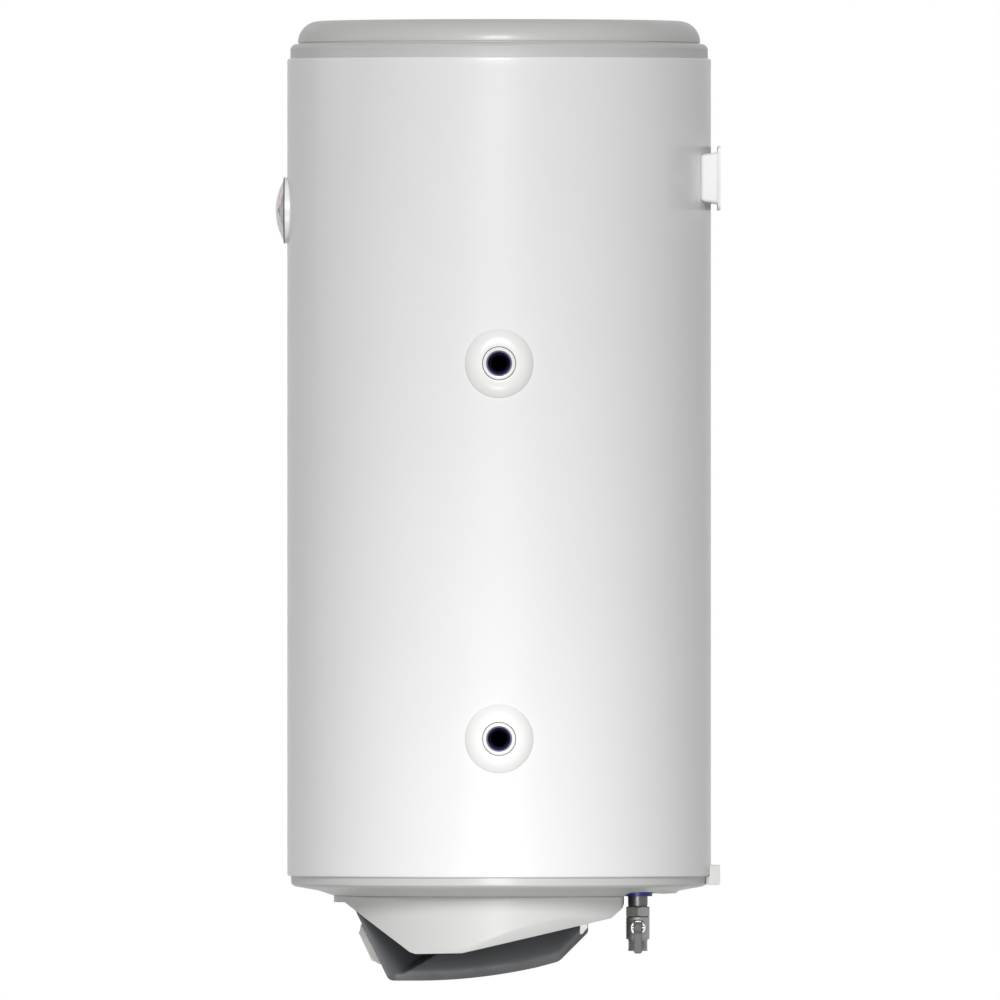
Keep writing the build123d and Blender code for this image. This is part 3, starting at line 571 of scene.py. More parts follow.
def noise(tree: bpy.types.NodeTree, place: bpy.types.NodeSocket, scale: float,
          detail: float) -> bpy.types.NodeSocket:
    """Adds a noise texture.

    Args:
        tree: that takes the node
        place: object coordinates
        scale: cells in a metre
        detail: octaves

    Returns:
        its value
    """
    node = tree.nodes.new("ShaderNodeTexNoise")
    node.inputs["Scale"].default_value = scale
    node.inputs["Detail"].default_value = detail
    tree.links.new(place, node.inputs["Vector"])
    return node.outputs["Fac"]


def ramp(tree: bpy.types.NodeTree, value: bpy.types.NodeSocket, low: Sequence[float],
         high: Sequence[float], ends: tuple[float, float] = NOISE_RANGE) -> bpy.types.NodeSocket:
    """Adds a two-colour ramp.

    Args:
        tree: that takes the node
        value: that picks the colour
        low: linear RGB at the first end
        high: linear RGB at the second end
        ends: values at the two ends

    Returns:
        the colour
    """
    node = tree.nodes.new("ShaderNodeValToRGB")
    for stop, position, colour in zip(node.color_ramp.elements, ends, (low, high)):
        stop.position, stop.color = position, (*colour, 1.0)
    tree.links.new(value, node.inputs["Fac"])
    return node.outputs["Color"]


def span(tree: bpy.types.NodeTree, value: bpy.types.NodeSocket, low: float,
         high: float) -> bpy.types.NodeSocket:
    """Maps a noise value to a range.

    Args:
        tree: that takes the node
        value: of a noise
        low: first end of the range
        high: second end of the range

    Returns:
        the mapped value
    """
    node = tree.nodes.new("ShaderNodeMapRange")
    limits = (*NOISE_RANGE, max(SMOOTHEST, low), high)
    for socket, limit in zip(("From Min", "From Max", "To Min", "To Max"), limits):
        node.inputs[socket].default_value = limit
    tree.links.new(value, node.inputs["Value"])
    return node.outputs["Result"]


def maths(tree: bpy.types.NodeTree, operation: str, a: object, b: object = 0.0,
          c: object = 0.0) -> bpy.types.NodeSocket:
    """Adds a Math node.

    Args:
        tree: that takes the node
        operation: of the node
        a: first operand, a socket or a number
        b: second operand
        c: third operand

    Returns:
        the result
    """
    node = tree.nodes.new("ShaderNodeMath")
    node.operation = operation
    for slot, value in zip(node.inputs, (a, b, c)):
        if isinstance(value, bpy.types.NodeSocket):
            tree.links.new(value, slot)
        else:
            slot.default_value = float(value)
    return node.outputs[0]


ENAMEL = Finish("stoved_enamel", (0.80, 0.80, 0.80), 0.34, grain=Grain.PEEL, grain_size=2.2,
                relief=0.035, drift=0.012, coat=0.35, sheen_drop=0.03)
BRACKET_ENAMEL = Finish("bracket_enamel", (0.80, 0.80, 0.80), 0.38, grain=Grain.PEEL,
                        grain_size=1.5, relief=0.06, drift=0.02, coat=0.2, sheen_drop=0.04)
CAP_PLASTIC = Finish("cap_plastic", (0.56, 0.56, 0.55), 0.42, grain_size=0.8,
                     relief=0.05, drift=0.02, coat=0.15, sheen_drop=0.05, glow=0.03)
WHITE_PLASTIC = Finish("white_plastic", (0.82, 0.82, 0.815), 0.46, grain_size=0.7, relief=0.03,
                       drift=0.015, coat=0.05, glow=0.04)
DARK_PLASTIC = Finish("control_plastic", (0.088, 0.092, 0.096), 0.5, grain_size=0.5, relief=0.12,
                       drift=0.08, sheen_drop=0.06)
KNOB_PLASTIC = Finish("knob_plastic", (0.74, 0.75, 0.75), 0.3, grain_size=0.6,
                      relief=0.04, drift=0.02, coat=0.25, glow=0.25)
NICKEL = Finish("satin_nickel", (0.36, 0.355, 0.345), 0.42, 1.0, Grain.CAST, 0.9, 0.07, 0.12,
                sheen_drop=0.09)
NICKEL_TURNED = Finish("turned_nickel", (0.42, 0.42, 0.41), 0.2, 1.0, Grain.TURNED, 0.5, 0.05,
                       0.08, sheen_drop=0.06)
ZINC = Finish("zinc_plate", (0.5, 0.51, 0.5), 0.34, 1.0, Grain.TURNED, 0.6, 0.06, 0.15,
              sheen_drop=0.1)
SPRING = Finish("spring_wire", (0.55, 0.55, 0.54), 0.25, 1.0, Grain.TURNED, 0.3, 0.04, 0.1)
BRASS = Finish("turned_brass", (0.62, 0.42, 0.16), 0.26, 1.0, Grain.TURNED, 0.5, 0.05, 0.12,
               sheen_drop=0.08)
COPPER = Finish("drawn_copper", (0.7, 0.31, 0.17), 0.3, 1.0, Grain.TURNED, 0.7, 0.05, 0.18,
                sheen_drop=0.1)
MAGNESIUM = Finish("cast_magnesium", (0.42, 0.42, 0.44), 0.55, 1.0, Grain.CAST, 2.0, 0.2, 0.15)
VESSEL = Finish("vitreous_enamel", (0.012, 0.02, 0.085), 0.16, grain=Grain.PEEL, grain_size=3.0,
                relief=0.12, drift=0.25, coat=0.5)
SOCKET_BORE = Finish("enamelled_bore", (0.012, 0.015, 0.085), 0.42, grain=Grain.CAST,
                     grain_size=0.8, relief=0.12, drift=0.3, coat=0.3)
SOCKET_RIM = Finish("machined_rim", (0.16, 0.15, 0.2), 0.35, 0.0, Grain.TURNED, 0.4, 0.06, 0.15)
RING_GREY = Finish("lens_ring", (0.07, 0.066, 0.066), 0.4, grain=Grain.TURNED, grain_size=0.4,
                   relief=0.04, drift=0.06)
RUBBER = Finish("moulded_rubber", (0.022, 0.022, 0.023), 0.65, grain_size=0.7,
                relief=0.15, drift=0.15)
BLUE = Finish("blue_collar", (0.022, 0.03, 0.21), 0.4, grain_size=0.5,
              relief=0.06, drift=0.06, glow=0.03)
RED = Finish("red_collar", (0.36, 0.012, 0.014), 0.4, grain_size=0.5,
             relief=0.06, drift=0.06, glow=0.03)
FOAM = Finish("cut_foam", (0.72, 0.6, 0.3), 0.9, grain=Grain.CELLS, grain_size=1.4, relief=0.6,
              drift=0.12)
CERAMIC = Finish("steatite", (0.74, 0.71, 0.64), 0.45, grain=Grain.CAST, grain_size=0.6,
                 relief=0.08, drift=0.05)
BLACK = Finish("black_phenolic", (0.018, 0.018, 0.019), 0.36, grain_size=0.5,
               relief=0.08, drift=0.1)
NYLON = Finish("natural_nylon", (0.66, 0.62, 0.5), 0.42, grain_size=0.5,
               relief=0.05, drift=0.04, glow=0.15)
BUTTON = Finish("button_red", (0.5, 0.01, 0.012), 0.3, grain_size=0.4,
                relief=0.03, drift=0.05, coat=0.2)
WIRE = Finish("silicone_wire", (0.2, 0.08, 0.03), 0.5, grain_size=0.6,
              relief=0.06, drift=0.15)
POINTER = Finish("pointer_paint", (0.015, 0.015, 0.016), 0.4, grain_size=0.3,
                 relief=0.04, drift=0.05)
COVER_PLASTIC = Finish("cover_plastic", (0.58, 0.58, 0.57), 0.46, grain_size=0.8, relief=0.045,
                       drift=0.015, coat=0.12, sheen_drop=0.04, glow=0.03)
NICKEL_DARK = Finish("dark_nickel", (0.17, 0.17, 0.175), 0.4, 1.0, Grain.TURNED, 0.5, 0.05, 0.1,
                     sheen_drop=0.06)
# brighter copy of the satin nickel: a painted highlight for the bonnet's front ring
NICKEL_PAINTED_HIGHLIGHT = Finish("nickel_painted_highlight", (0.80, 0.80, 0.79), 0.34, 1.0, Grain.TURNED, 0.4, 0.04, 0.06,
                sheen_drop=0.05)
LEVER_GREY = Finish("lever_paint", (0.105, 0.107, 0.107), 0.55, 0.0, Grain.CAST, 0.6, 0.1, 0.08)


@dataclass(frozen=True)
class ClearFinish:
    """Clear or tinted moulding that lets most of the light through.

    Attributes:
        name: of the material
        tint: linear RGB
        alpha: how solid it looks
        roughness: of the surface
        index: of refraction
        rim: how much more solid it looks at a glance
        haze_drop: how much the roughness rises in the scratches
    """

    name: str
    tint: tuple[float, float, float]
    alpha: float
    roughness: float = 0.04
    index: float = 1.49
    rim: float = 0.45
    haze_drop: float = 0.05

    def make(self) -> bpy.types.Material:
        """Builds the node tree: a glossy skin with faint scratches over see-through plastic.

        Returns:
            the material
        """
        material, tree, shader, place = started(self.name)
        shader.inputs["Base Color"].default_value = (*self.tint, 1.0)
        shader.inputs["IOR"].default_value = self.index
        haze = noise(tree, place, *HAZE)
        tree.links.new(span(tree, haze, self.roughness, self.roughness + self.haze_drop),
                       shader.inputs["Roughness"])
        edge = tree.nodes.new("ShaderNodeLayerWeight")
        edge.inputs["Blend"].default_value = 0.25
        solid = maths(tree, "MULTIPLY_ADD", edge.outputs["Facing"], self.rim, self.alpha)
        tree.links.new(solid, shader.inputs["Alpha"])
        return material


@dataclass(frozen=True)
class DialPrint:
    """Printed thermometer scale: red upper arc, blue lower arc, ticks and a white ground.

    Attributes:
        name: of the material
        centre: of the dial in (X, Z)
        band: inner and outer radius of the coloured arc
        tick_band: inner and outer radius of the tick marks
        ticks: marks round the full circle
        tick_half: half a mark's width, as a share of the step between marks
        size: height over which the colours change, in metres
        stops: of the colours, (position, linear RGB) from the lowest to the highest
        ground: colour beside the band
        ink: colour of the marks
        sheen: lowest and highest roughness
        paper_relief: strength and distance of the paper's relief
    """

    name: str
    centre: tuple[float, float]
    band: tuple[float, float] = (0.0105, 0.0235)
    tick_band: tuple[float, float] = (0.0205, 0.0245)
    ticks: int = 36
    tick_half: float = 0.09
    size: float = 0.05
    stops: tuple[tuple[float, tuple[float, float, float]], ...] = (
        (0.30, (0.40, 0.52, 0.80)), (0.50, (0.80, 0.72, 0.76)), (0.72, (0.72, 0.10, 0.11)))
    ground: tuple[float, float, float] = (0.83, 0.82, 0.82)
    ink: tuple[float, float, float] = (0.05, 0.05, 0.055)
    sheen: tuple[float, float] = (0.38, 0.5)
    paper_relief: tuple[float, float] = (0.05, 0.0001)

    def make(self) -> bpy.types.Material:
        """Builds the node tree from the angle and radius of each point in the dial's plane.

        Returns:
            the material
        """
        material, tree, shader, place = started(self.name)
        split = tree.nodes.new("ShaderNodeSeparateXYZ")
        tree.links.new(place, split.inputs[0])
        x = maths(tree, "SUBTRACT", split.outputs["X"], self.centre[0])
        z = maths(tree, "SUBTRACT", split.outputs["Z"], self.centre[1])
        square = maths(tree, "MULTIPLY_ADD", x, x, maths(tree, "MULTIPLY", z, z))
        radius = maths(tree, "SQRT", square)
        angle = maths(tree, "ARCTAN2", z, x)
        height = maths(tree, "MULTIPLY_ADD", z, 1 / self.size, 0.5)
        colours = tree.nodes.new("ShaderNodeValToRGB")
        (low, _), (middle, _), (high, _) = self.stops
        elements = colours.color_ramp.elements
        elements[0].position, elements[1].position = low, high
        elements.new(middle)
        for element, (_, colour) in zip(elements, self.stops):
            element.color = (*colour, 1.0)
        tree.links.new(height, colours.inputs["Fac"])
        in_band = self.within(tree, radius, self.band)
        ground = mix(tree, in_band, self.ground, colours.outputs["Color"])
        turn = maths(tree, "FRACT", maths(tree, "MULTIPLY", angle, self.ticks / (2 * math.pi)))
        beside = maths(tree, "ABSOLUTE", maths(tree, "SUBTRACT", turn, 0.5))
        mark = maths(tree, "LESS_THAN", beside, self.tick_half)
        inked = maths(tree, "MULTIPLY", mark, self.within(tree, radius, self.tick_band))
        final = mix(tree, inked, ground, self.ink)
        tree.links.new(final, shader.inputs["Base Color"])
        paper = noise(tree, place, *PAPER)
        tree.links.new(span(tree, paper, *self.sheen), shader.inputs["Roughness"])
        tree.links.new(raised(tree, paper, *self.paper_relief), shader.inputs["Normal"])
        return material

    @staticmethod
    def within(tree: bpy.types.NodeTree, value: bpy.types.NodeSocket,
               limits: tuple[float, float]) -> bpy.types.NodeSocket:
        """1 where a value lies between two limits."""
        above = maths(tree, "GREATER_THAN", value, limits[0])
        return maths(tree, "MULTIPLY", above, maths(tree, "LESS_THAN", value, limits[1]))


def mix(tree: bpy.types.NodeTree, factor: bpy.types.NodeSocket, a: object,
        b: object) -> bpy.types.NodeSocket:
    """Mixes two colours.

    Args:
        tree: that takes the node
        factor: share of the second colour
        a: first colour, a socket or linear RGB
        b: second colour

    Returns:
        the mixed colour
    """
    node = tree.nodes.new("ShaderNodeMix")
    node.data_type = "RGBA"
    tree.links.new(factor, node.inputs["Factor"])
    for slot, value in zip((node.inputs[6], node.inputs[7]), (a, b)):
        if isinstance(value, bpy.types.NodeSocket):
            tree.links.new(value, slot)
        else:
            slot.default_value = (*value, 1.0)
    return node.outputs[2]


def dress(piece: bpy.types.Object, body: str, finishes: Sequence[object],
          nodes: Sequence[str] = ()) -> bpy.types.Object:
    """Gives a finished piece its materials, body and the CAD nodes it stands for.

    Args:
        piece: to dress
        body: CAD body it rides on
        finishes: one for each finish number of its faces
        nodes: CAD nodes that it replaces

    Returns:
        the piece
    """
    for finish in finishes:
        piece.data.materials.append(finish.make())
    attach(piece, body)
    if nodes:
        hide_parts(*nodes)
    LOG.info("%s rides on %s, %d vertices", piece.name, body, len(piece.data.vertices))
    return piece


# ======================================================================= profiles
def arc(centre: tuple[float, float], radius: float, start: float, end: float,
        steps: int = 10) -> list[tuple[float, float]]:
    """Points of a circle's arc in (r, h), from one angle to another in degrees.

    Args:
        centre: (r, h) in millimetres
        radius: in millimetres
        start: first angle
        end: last angle
        steps: spans between them

    Returns:
        the points
    """
    turn = np.radians(np.linspace(start, end, steps + 1))
    points = np.stack([centre[0] + radius * np.cos(turn), centre[1] + radius * np.sin(turn)], 1)
    return [tuple(p) for p in points]


def threaded(shape: Shape, axes: Axes, radius: float, ends: tuple[float, float], depth: float,
             slot: int = 0, pitch: float = 1.814, segments: int = 60) -> None:
    """Adds a screw thread.

    The radius at height h and angle a is R - depth * |2 frac(h / pitch - a / 2 pi) - 1|, with
    the depth fading to nothing over the first and last turn.

    Args:
        shape: that takes the surface
        axes: of the thread
        radius: of its crests, in millimetres; a negative depth makes a female thread
        ends: start and end height, in millimetres
        depth: of the grooves, in millimetres
        slot: finish number
        pitch: in millimetres
        segments: round the circle
    """
    low, high = ends
    rows = int((high - low) / pitch * 8) + 1
    h = np.linspace(low, high, rows)[:, None]
    a = np.linspace(0, 2 * np.pi, segments, endpoint=False)[None, :]
    fade = smooth_step(low, low + pitch, h) * (1 - smooth_step(high - pitch, high, h))
    wave = np.abs(2 * np.mod(h / pitch - a / (2 * np.pi), 1.0) - 1)
    r = radius - depth * fade * wave
    local = np.stack([r * np.cos(a), r * np.sin(a), h + 0 * a], axis=-1) * MM
    shape.grid(axes.place(local), False, True, slot)


def hexagon(shape: Shape, axes: Axes, across: float, ends: tuple[float, float],
            bevel_height: float = 1.2, slot: int = 0) -> None:
    """Adds a hexagon whose ends are turned to a cone.

    The radius at angle a is the hexagon's, across / 2 / cos(a mod 60 - 30), or the cone's
    where that is smaller.

    Args:
        shape: that takes the surface
        axes: of the hexagon
        across: flats, in millimetres
        ends: start and end height, in millimetres
        bevel_height: height of each cone, in millimetres
        slot: finish number
    """
    low, high = ends
    h = np.concatenate([np.linspace(low, low + bevel_height, 5),
                        np.linspace(high - bevel_height, high, 5)])[:, None]
    a = np.linspace(0, 2 * np.pi, 96, endpoint=False)[None, :]
    flat = across / 2 / np.cos(np.mod(a, np.pi / 3) - np.pi / 6)
    corner = across / 2 / math.cos(math.pi / 6)
    near_end = np.minimum(h - low, high - h)
    cone = across / 2 - 0.3 + np.clip(near_end / bevel_height, 0, 1) * (corner - across / 2 + 0.3)
    r = np.minimum(flat, cone)
    local = np.stack([r * np.cos(a), r * np.sin(a), h + 0 * a], axis=-1) * MM
    shape.grid(axes.place(local), False, True, slot)
    for end, row in ((low, r[0]), (high, r[-1])):
        ring = np.stack([row * np.cos(a[0]), row * np.sin(a[0]), end + 0 * row], axis=-1) * MM
        shape.grid(axes.place(np.stack([ring, ring * [0.5, 0.5, 1.0]])), False, True, slot)


def slab(shape: Shape, axes: Axes, half: tuple[float, float], corner: float,
         rings: Sequence[tuple[float, float]], slot: int = 0, steps: int = 8) -> None:
    """Adds a rounded rectangular pad.

    Each ring is the rectangle's outline moved inwards by its inset and lifted to its height;
    the corners are quarter circles of the corner radius less the inset. The last ring folds
    onto the middle line, so the pad is closed.

    Args:
        shape: that takes the surface
        axes: of the pad, its height along w
        half: half its size along u and v, in millimetres
        corner: radius, in millimetres
        rings: (inset, height) of each, in millimetres
        slot: finish number
        steps: spans in each corner
    """
    quarter = np.linspace(0, np.pi / 2, steps + 1)
    a = np.concatenate([quarter + k * np.pi / 2 for k in range(4)])
    side_u = np.repeat([1, -1, -1, 1], steps + 1)
    side_v = np.repeat([1, 1, -1, -1], steps + 1)
    inset = np.array([r[0] for r in rings])[:, None]
    height = np.array([r[1] for r in rings])[:, None]
    round_r = np.maximum(corner - inset, 0.0)
    u = side_u * np.maximum(half[0] - inset - round_r, 0) + round_r * np.cos(a)
    v = side_v * np.maximum(half[1] - inset - round_r, 0) + round_r * np.sin(a)
    local = np.stack([u, v, height + 0 * u], axis=-1) * MM
    shape.grid(axes.place(local), False, True, slot)


# ======================================================================= sub-assemblies
@dataclass
class Jacket:
    """Enamelled steel casing: a rolled sheet with hemmed ends and its cut-outs.

    Attributes:
        segments: round the tank
        rows: up the side
        wall: sheet thickness in metres
        hem: radius of the rolled edges in millimetres
        socket_heights: of the coil sockets, in metres
        socket_hole: radius in metres
        gauge_hole: radius in metres
    """

    segments: int = 240
    rows: int = 110
    wall: float = 0.0008
    hem: float = 2.0
    socket_heights: tuple[float, ...] = (-0.599, -0.199)
    socket_hole: float = 0.01775
    gauge_hole: float = 0.030

    def build(self) -> bpy.types.Object:
        """Makes the casing and dresses it.

        Returns:
            the casing
        """
        low, high = CASE_LOW[2] + self.hem * MM, CASE_HIGH[2] - self.hem * MM
        step = 2 * np.pi * CASE_R / self.segments
        across = np.arange(self.segments) * step
        up = np.linspace(low, high, self.rows + 1)
        flat = np.stack(np.meshgrid(across, up), axis=-1)
        holes = [self.hole(0, z, self.socket_hole, up, step) for z in self.socket_heights]
        gauge_z = float(node_centre("thermometer_dial")[2])
        holes.append(self.hole(self.segments * 3 // 4, gauge_z, self.gauge_hole, up, step))
        shape = Shape()
        holed_grid(shape, flat, self.fold, holes, wrap=True, period=2 * np.pi * CASE_R)
        bend = CASE_R / MM - self.hem
        for edge, sign in ((high / MM, 1), (low / MM, -1)):
            curl = arc((bend, edge), self.hem, 0, sign * 90, 6)
            curl.append((bend - 1.1, edge + sign * self.hem))
            shape.turned(np.array(curl) * MM, segments=self.segments)
        casing = shape.mesh("casing_sheet")
        thicken(casing, self.wall)
        return dress(casing, "heater", [ENAMEL], ["casing"])

    @staticmethod
    def fold(flat: Array) -> Array:
        """Rolls (distance round, height) onto the casing's cylinder."""
        a = flat[..., 0] / CASE_R
        return np.stack([TANK[0] + CASE_R * np.cos(a), TANK[1] + CASE_R * np.sin(a),
                         flat[..., 1]], axis=-1)

    @staticmethod
    def hole(column: int, z: float, radius: float, up: Array, step: float) -> Hole:
        """A hole centred on a grid column, with a patch one and a half times its size.

        Args:
            column: grid column of its centre
            z: height of its centre, in metres
            radius: in metres
            up: heights of the grid rows
            step: distance between columns

        Returns:
            the hole
        """
        reach = radius * 1.5
        rows = (int(np.searchsorted(up, z - reach)) - 1, int(np.searchsorted(up, z + reach)))
        spans = math.ceil(reach / step)
        return Hole((column * step, z), radius, rows, (column - spans, column + spans))


@dataclass
class Caps:
    """Moulded end caps.

    Attributes:
        segments: round the tank
        crown: radius of the lid's rolled shoulder, in millimetres
        crown_at: centre of that shoulder, (r, z) in millimetres
        wall: thickness in millimetres
        inner_edge: radius of the service opening in the lower cap, in millimetres
        pipe_hole: radius of the two pipe holes, in metres
        pad_z: height of the pad round the pipes, in millimetres
        pad_r: outer radius of that pad, in millimetres
        rim: radius where the lower cap's flat meets its cone, in millimetres
        patch_rows: first and last row of the patch round each pipe hole
        patch_half: half that patch's width, in columns
        hollow_y: Y of the hollows' middle line, in millimetres
        hollow_half: half their width, in millimetres
        hollow_depth: in millimetres
    """

    segments: int = 240
    crown: float = 23.0
    crown_at: tuple[float, float] = (192.5, 145.4)
    wall: float = 2.5
    inner_edge: float = 85.0
    pipe_hole: float = 0.0159
    pad_z: float = -765.6
    pad_r: float = 190.6
    rim: float = 178.1
    patch_rows: tuple[int, int] = (12, 23)
    patch_half: int = 6
    hollow_y: float = -83.0
    hollow_half: float = 19.0
    hollow_depth: float = 2.2

    def build(self) -> list[bpy.types.Object]:
        """Makes both caps."""
        return [self.top(), self.bottom()]

    def top(self) -> bpy.types.Object:
        """Lid: stepped skirt, soft shoulder, bead line, rolled crown and a flat.

        Returns:
            the lid
        """
        (r, z), top = self.crown_at, self.crown_at[1] + self.crown
        outer = rounded(
            [(223.2, 116.0), (225.8, 116.0, 0.4), (225.8, 126.4, 0.5), (223.6, 126.9, 0.3),
             (223.6, 138.3, 0.8), *arc((216.4, 136.6), 7.4, 12, 80, 8), (214.4, 144.0, 0.3),
             (214.4, 145.4, 0.3), (r + self.crown, 145.4, 0.2)], 4)
        crown = np.array(arc((r, z), self.crown, 4, 90, 22)) * MM
        under = np.array(arc((r, z), self.crown - self.wall, 90, 0, 12)) * MM
        flat = np.array([(0.0, top)]) * MM
        back = rounded([(211.9, 141.3), (219.0, 140.0, 1), (221.1, 136.5, 1), (221.1, 127.5, 1),
                        (223.2, 124.0, 0.5), (223.2, 116.0)], 2)
        inner = np.array([(0.0, top - self.wall)]) * MM
        skin = subdivided(np.concatenate([outer, crown, flat]), 0.016)
        lining = subdivided(np.concatenate([inner, under, back]), 0.03)
        cap = Shape().turned(skin, segments=self.segments).turned(lining, segments=self.segments)
        return dress(cap.mesh("top_lid"), "heater", [CAP_PLASTIC], ["top_cap"])

    def bottom(self) -> bpy.types.Object:
        """Base ring: short wall, cone, and a flat with the pipe and service openings.

        Returns:
            the base ring
        """
        flat_z = float(node_low("bottom_cap")[2]) / MM
        wall = rounded(
            [(225.8, -735.0), (225.8, -745.3, 0.5), (223.4, -745.9, 0.3), (222.5, -755.6, 1.0),
             (219.0, -758.2, 1.6), (193.7, -762.7, 1.5), (self.rim, flat_z)], 5)
        shape = Shape().turned(subdivided(wall, 0.003), segments=self.segments)
        r = np.linspace(self.inner_edge, self.rim, 24)[:, None] * MM
        a = np.arange(self.segments)[None, :] * 2 * np.pi / self.segments
        flat = np.stack([TANK[0] + r * np.cos(a), TANK[1] + r * np.sin(a)], axis=-1)
        holes = []
        for node in ("cold_inlet_pipe", "hot_outlet_pipe"):
            x, y = node_centre(node)[:2]
            turn = math.atan2(y - TANK[1], x - TANK[0]) / (2 * math.pi) * self.segments
            column = round(turn)
            holes.append(Hole((x, y), self.pipe_hole, self.patch_rows,
                              (column - self.patch_half, column + self.patch_half)))
        holed_grid(shape, flat, lambda p: self.level(p, flat_z * MM), holes, wrap=True)
        shape.points = [self.recess(p / MM) * MM for p in shape.points]
        cap = shape.mesh("base_ring")
        thicken(cap, self.wall * MM)
        return dress(cap, "heater", [CAP_PLASTIC], ["bottom_cap"])

    def recess(self, points: Array) -> Array:
        """Flat pad behind the service cover, with a hollow beside each pipe.

        Behind the cover and inside the pad's radius, z is the pad's height; beside a pipe it
        rises by the hollow's depth times sqrt(1 - d^2), d being the distance from the hollow's
        middle line as a share of its half-width.

        Args:
            points: (n, 3) in millimetres

        Returns:
            the points with their heights changed
        """
        x, y, z = points.T
        r = np.hypot(x, y - TANK[1] / MM)
        behind = smooth_step(-103.0, -99.5, y)
        low = z < self.pad_z + 2.2
        pad = np.where(low & (r < self.pad_r), self.pad_z, z)
        d = np.clip((y - self.hollow_y) / self.hollow_half, -1, 1)
        hollow = self.pad_z + self.hollow_depth * np.sqrt(1 - d**2) * (np.abs(x) > 40)
        pad = np.where(low, np.maximum(pad, np.where(np.abs(d) < 1, hollow, pad)), pad)
        return np.stack([x, y, z + behind * (pad - z)], axis=1)

    @staticmethod
    def level(flat: Array, z: float) -> Array:
        """Lays (x, y) points at one height."""
        return np.concatenate([flat, np.full(flat.shape[:-1] + (1,), z)], axis=-1)


@dataclass
class CoilConnection:
    """A threaded coil socket with its domed escutcheon.

    Attributes:
        place: "upper" or "lower"
        face: X of the socket's face, in millimetres
        outside: radius of the socket, in millimetres
        mouth: radius of its countersink, in millimetres
        thread: crest radius of the female thread, in millimetres
        dome: outer radius of the escutcheon, in millimetres
    """

    place: str
    face: float = 236.0
    outside: float = 17.35
    mouth: float = 13.4
    thread: float = 12.06
    dome: float = 36.75

    def build(self) -> list[bpy.types.Object]:
        """Makes the socket and the escutcheon."""
        self.z = float(node_centre(f"{self.place}_coil_socket")[2])
        return [self.socket(), self.rosette()]

    def socket(self) -> bpy.types.Object:
        """Painted face ring, bare countersink and an enamelled, threaded bore.

        Returns:
            the socket
        """
        axes = facing_right(0.0, float(TANK[1]), self.z)
        shape = Shape()
        body = rounded([(9.0, 188.0), (self.outside, 188.0, 0.5), (self.outside, self.face, 0.5),
                        (self.mouth + 0.5, self.face)])
        shape.turned(subdivided(body, 0.01), axes, 72, slot=0)
        throat = self.face - 1.34
        shape.turned(rounded([(self.mouth + 0.5, self.face), (self.mouth, self.face - 0.2, 0.1),
                              (self.thread, throat)]), axes, 72, slot=1)
        threaded(shape, axes, self.thread, (throat - 20.0, throat), -1.0, slot=2, segments=72)
        shape.turned(rounded([(self.thread, throat - 20.0), (9.0, throat - 23.0, 0.5),
                              (9.0, 188.0)]), axes, 72, slot=2)
        socket = shape.mesh(f"{self.place}_coil_socket_turned")
        return dress(socket, "heater", [ENAMEL, SOCKET_RIM, SOCKET_BORE],
                     [f"{self.place}_coil_socket"])

    def rosette(self) -> bpy.types.Object:
        """Escutcheon whose height runs from a flat collar at its bore to the casing's curve.

        With b = ((r - r0) / (R - r0))^2.3, its X is (1 - b) top + b (casing X + lift).

        Returns:
            the escutcheon
        """
        a = np.linspace(0, 2 * np.pi, 120, endpoint=False)[None, :]
        inner, start, top, lift = 18.05, 19.4, 233.9, 0.9
        r = np.concatenate([[inner, inner, inner + 0.15, inner + 0.5],
                            np.linspace(start, self.dome - 0.7, 26),
                            [self.dome - 0.3, self.dome - 0.05, self.dome]])[:, None]
        share = np.clip((r - start) / (self.dome - start), 0, 1) ** 2.3
        y = r * np.cos(a)
        skin = np.sqrt((CASE_R / MM) ** 2 - y**2)
        x = (1 - share) * top + share * (skin + lift)
        x[0] = 226.0
        x[1] = top - 0.5
        x[2] = top - 0.12
        x[-3:] = skin[-3:] + np.array([lift - 0.12, lift - 0.45, -0.6])[:, None]
        points = np.stack([x, y + TANK[1] / MM, r * np.sin(a) + self.z / MM], axis=-1) * MM
        shape = Shape().grid(points, False, True)
        rosette = shape.mesh(f"{self.place}_coil_escutcheon")
        return dress(rosette, "heater", [WHITE_PLASTIC],
                     [f"{self.place}_coil_rosette"])


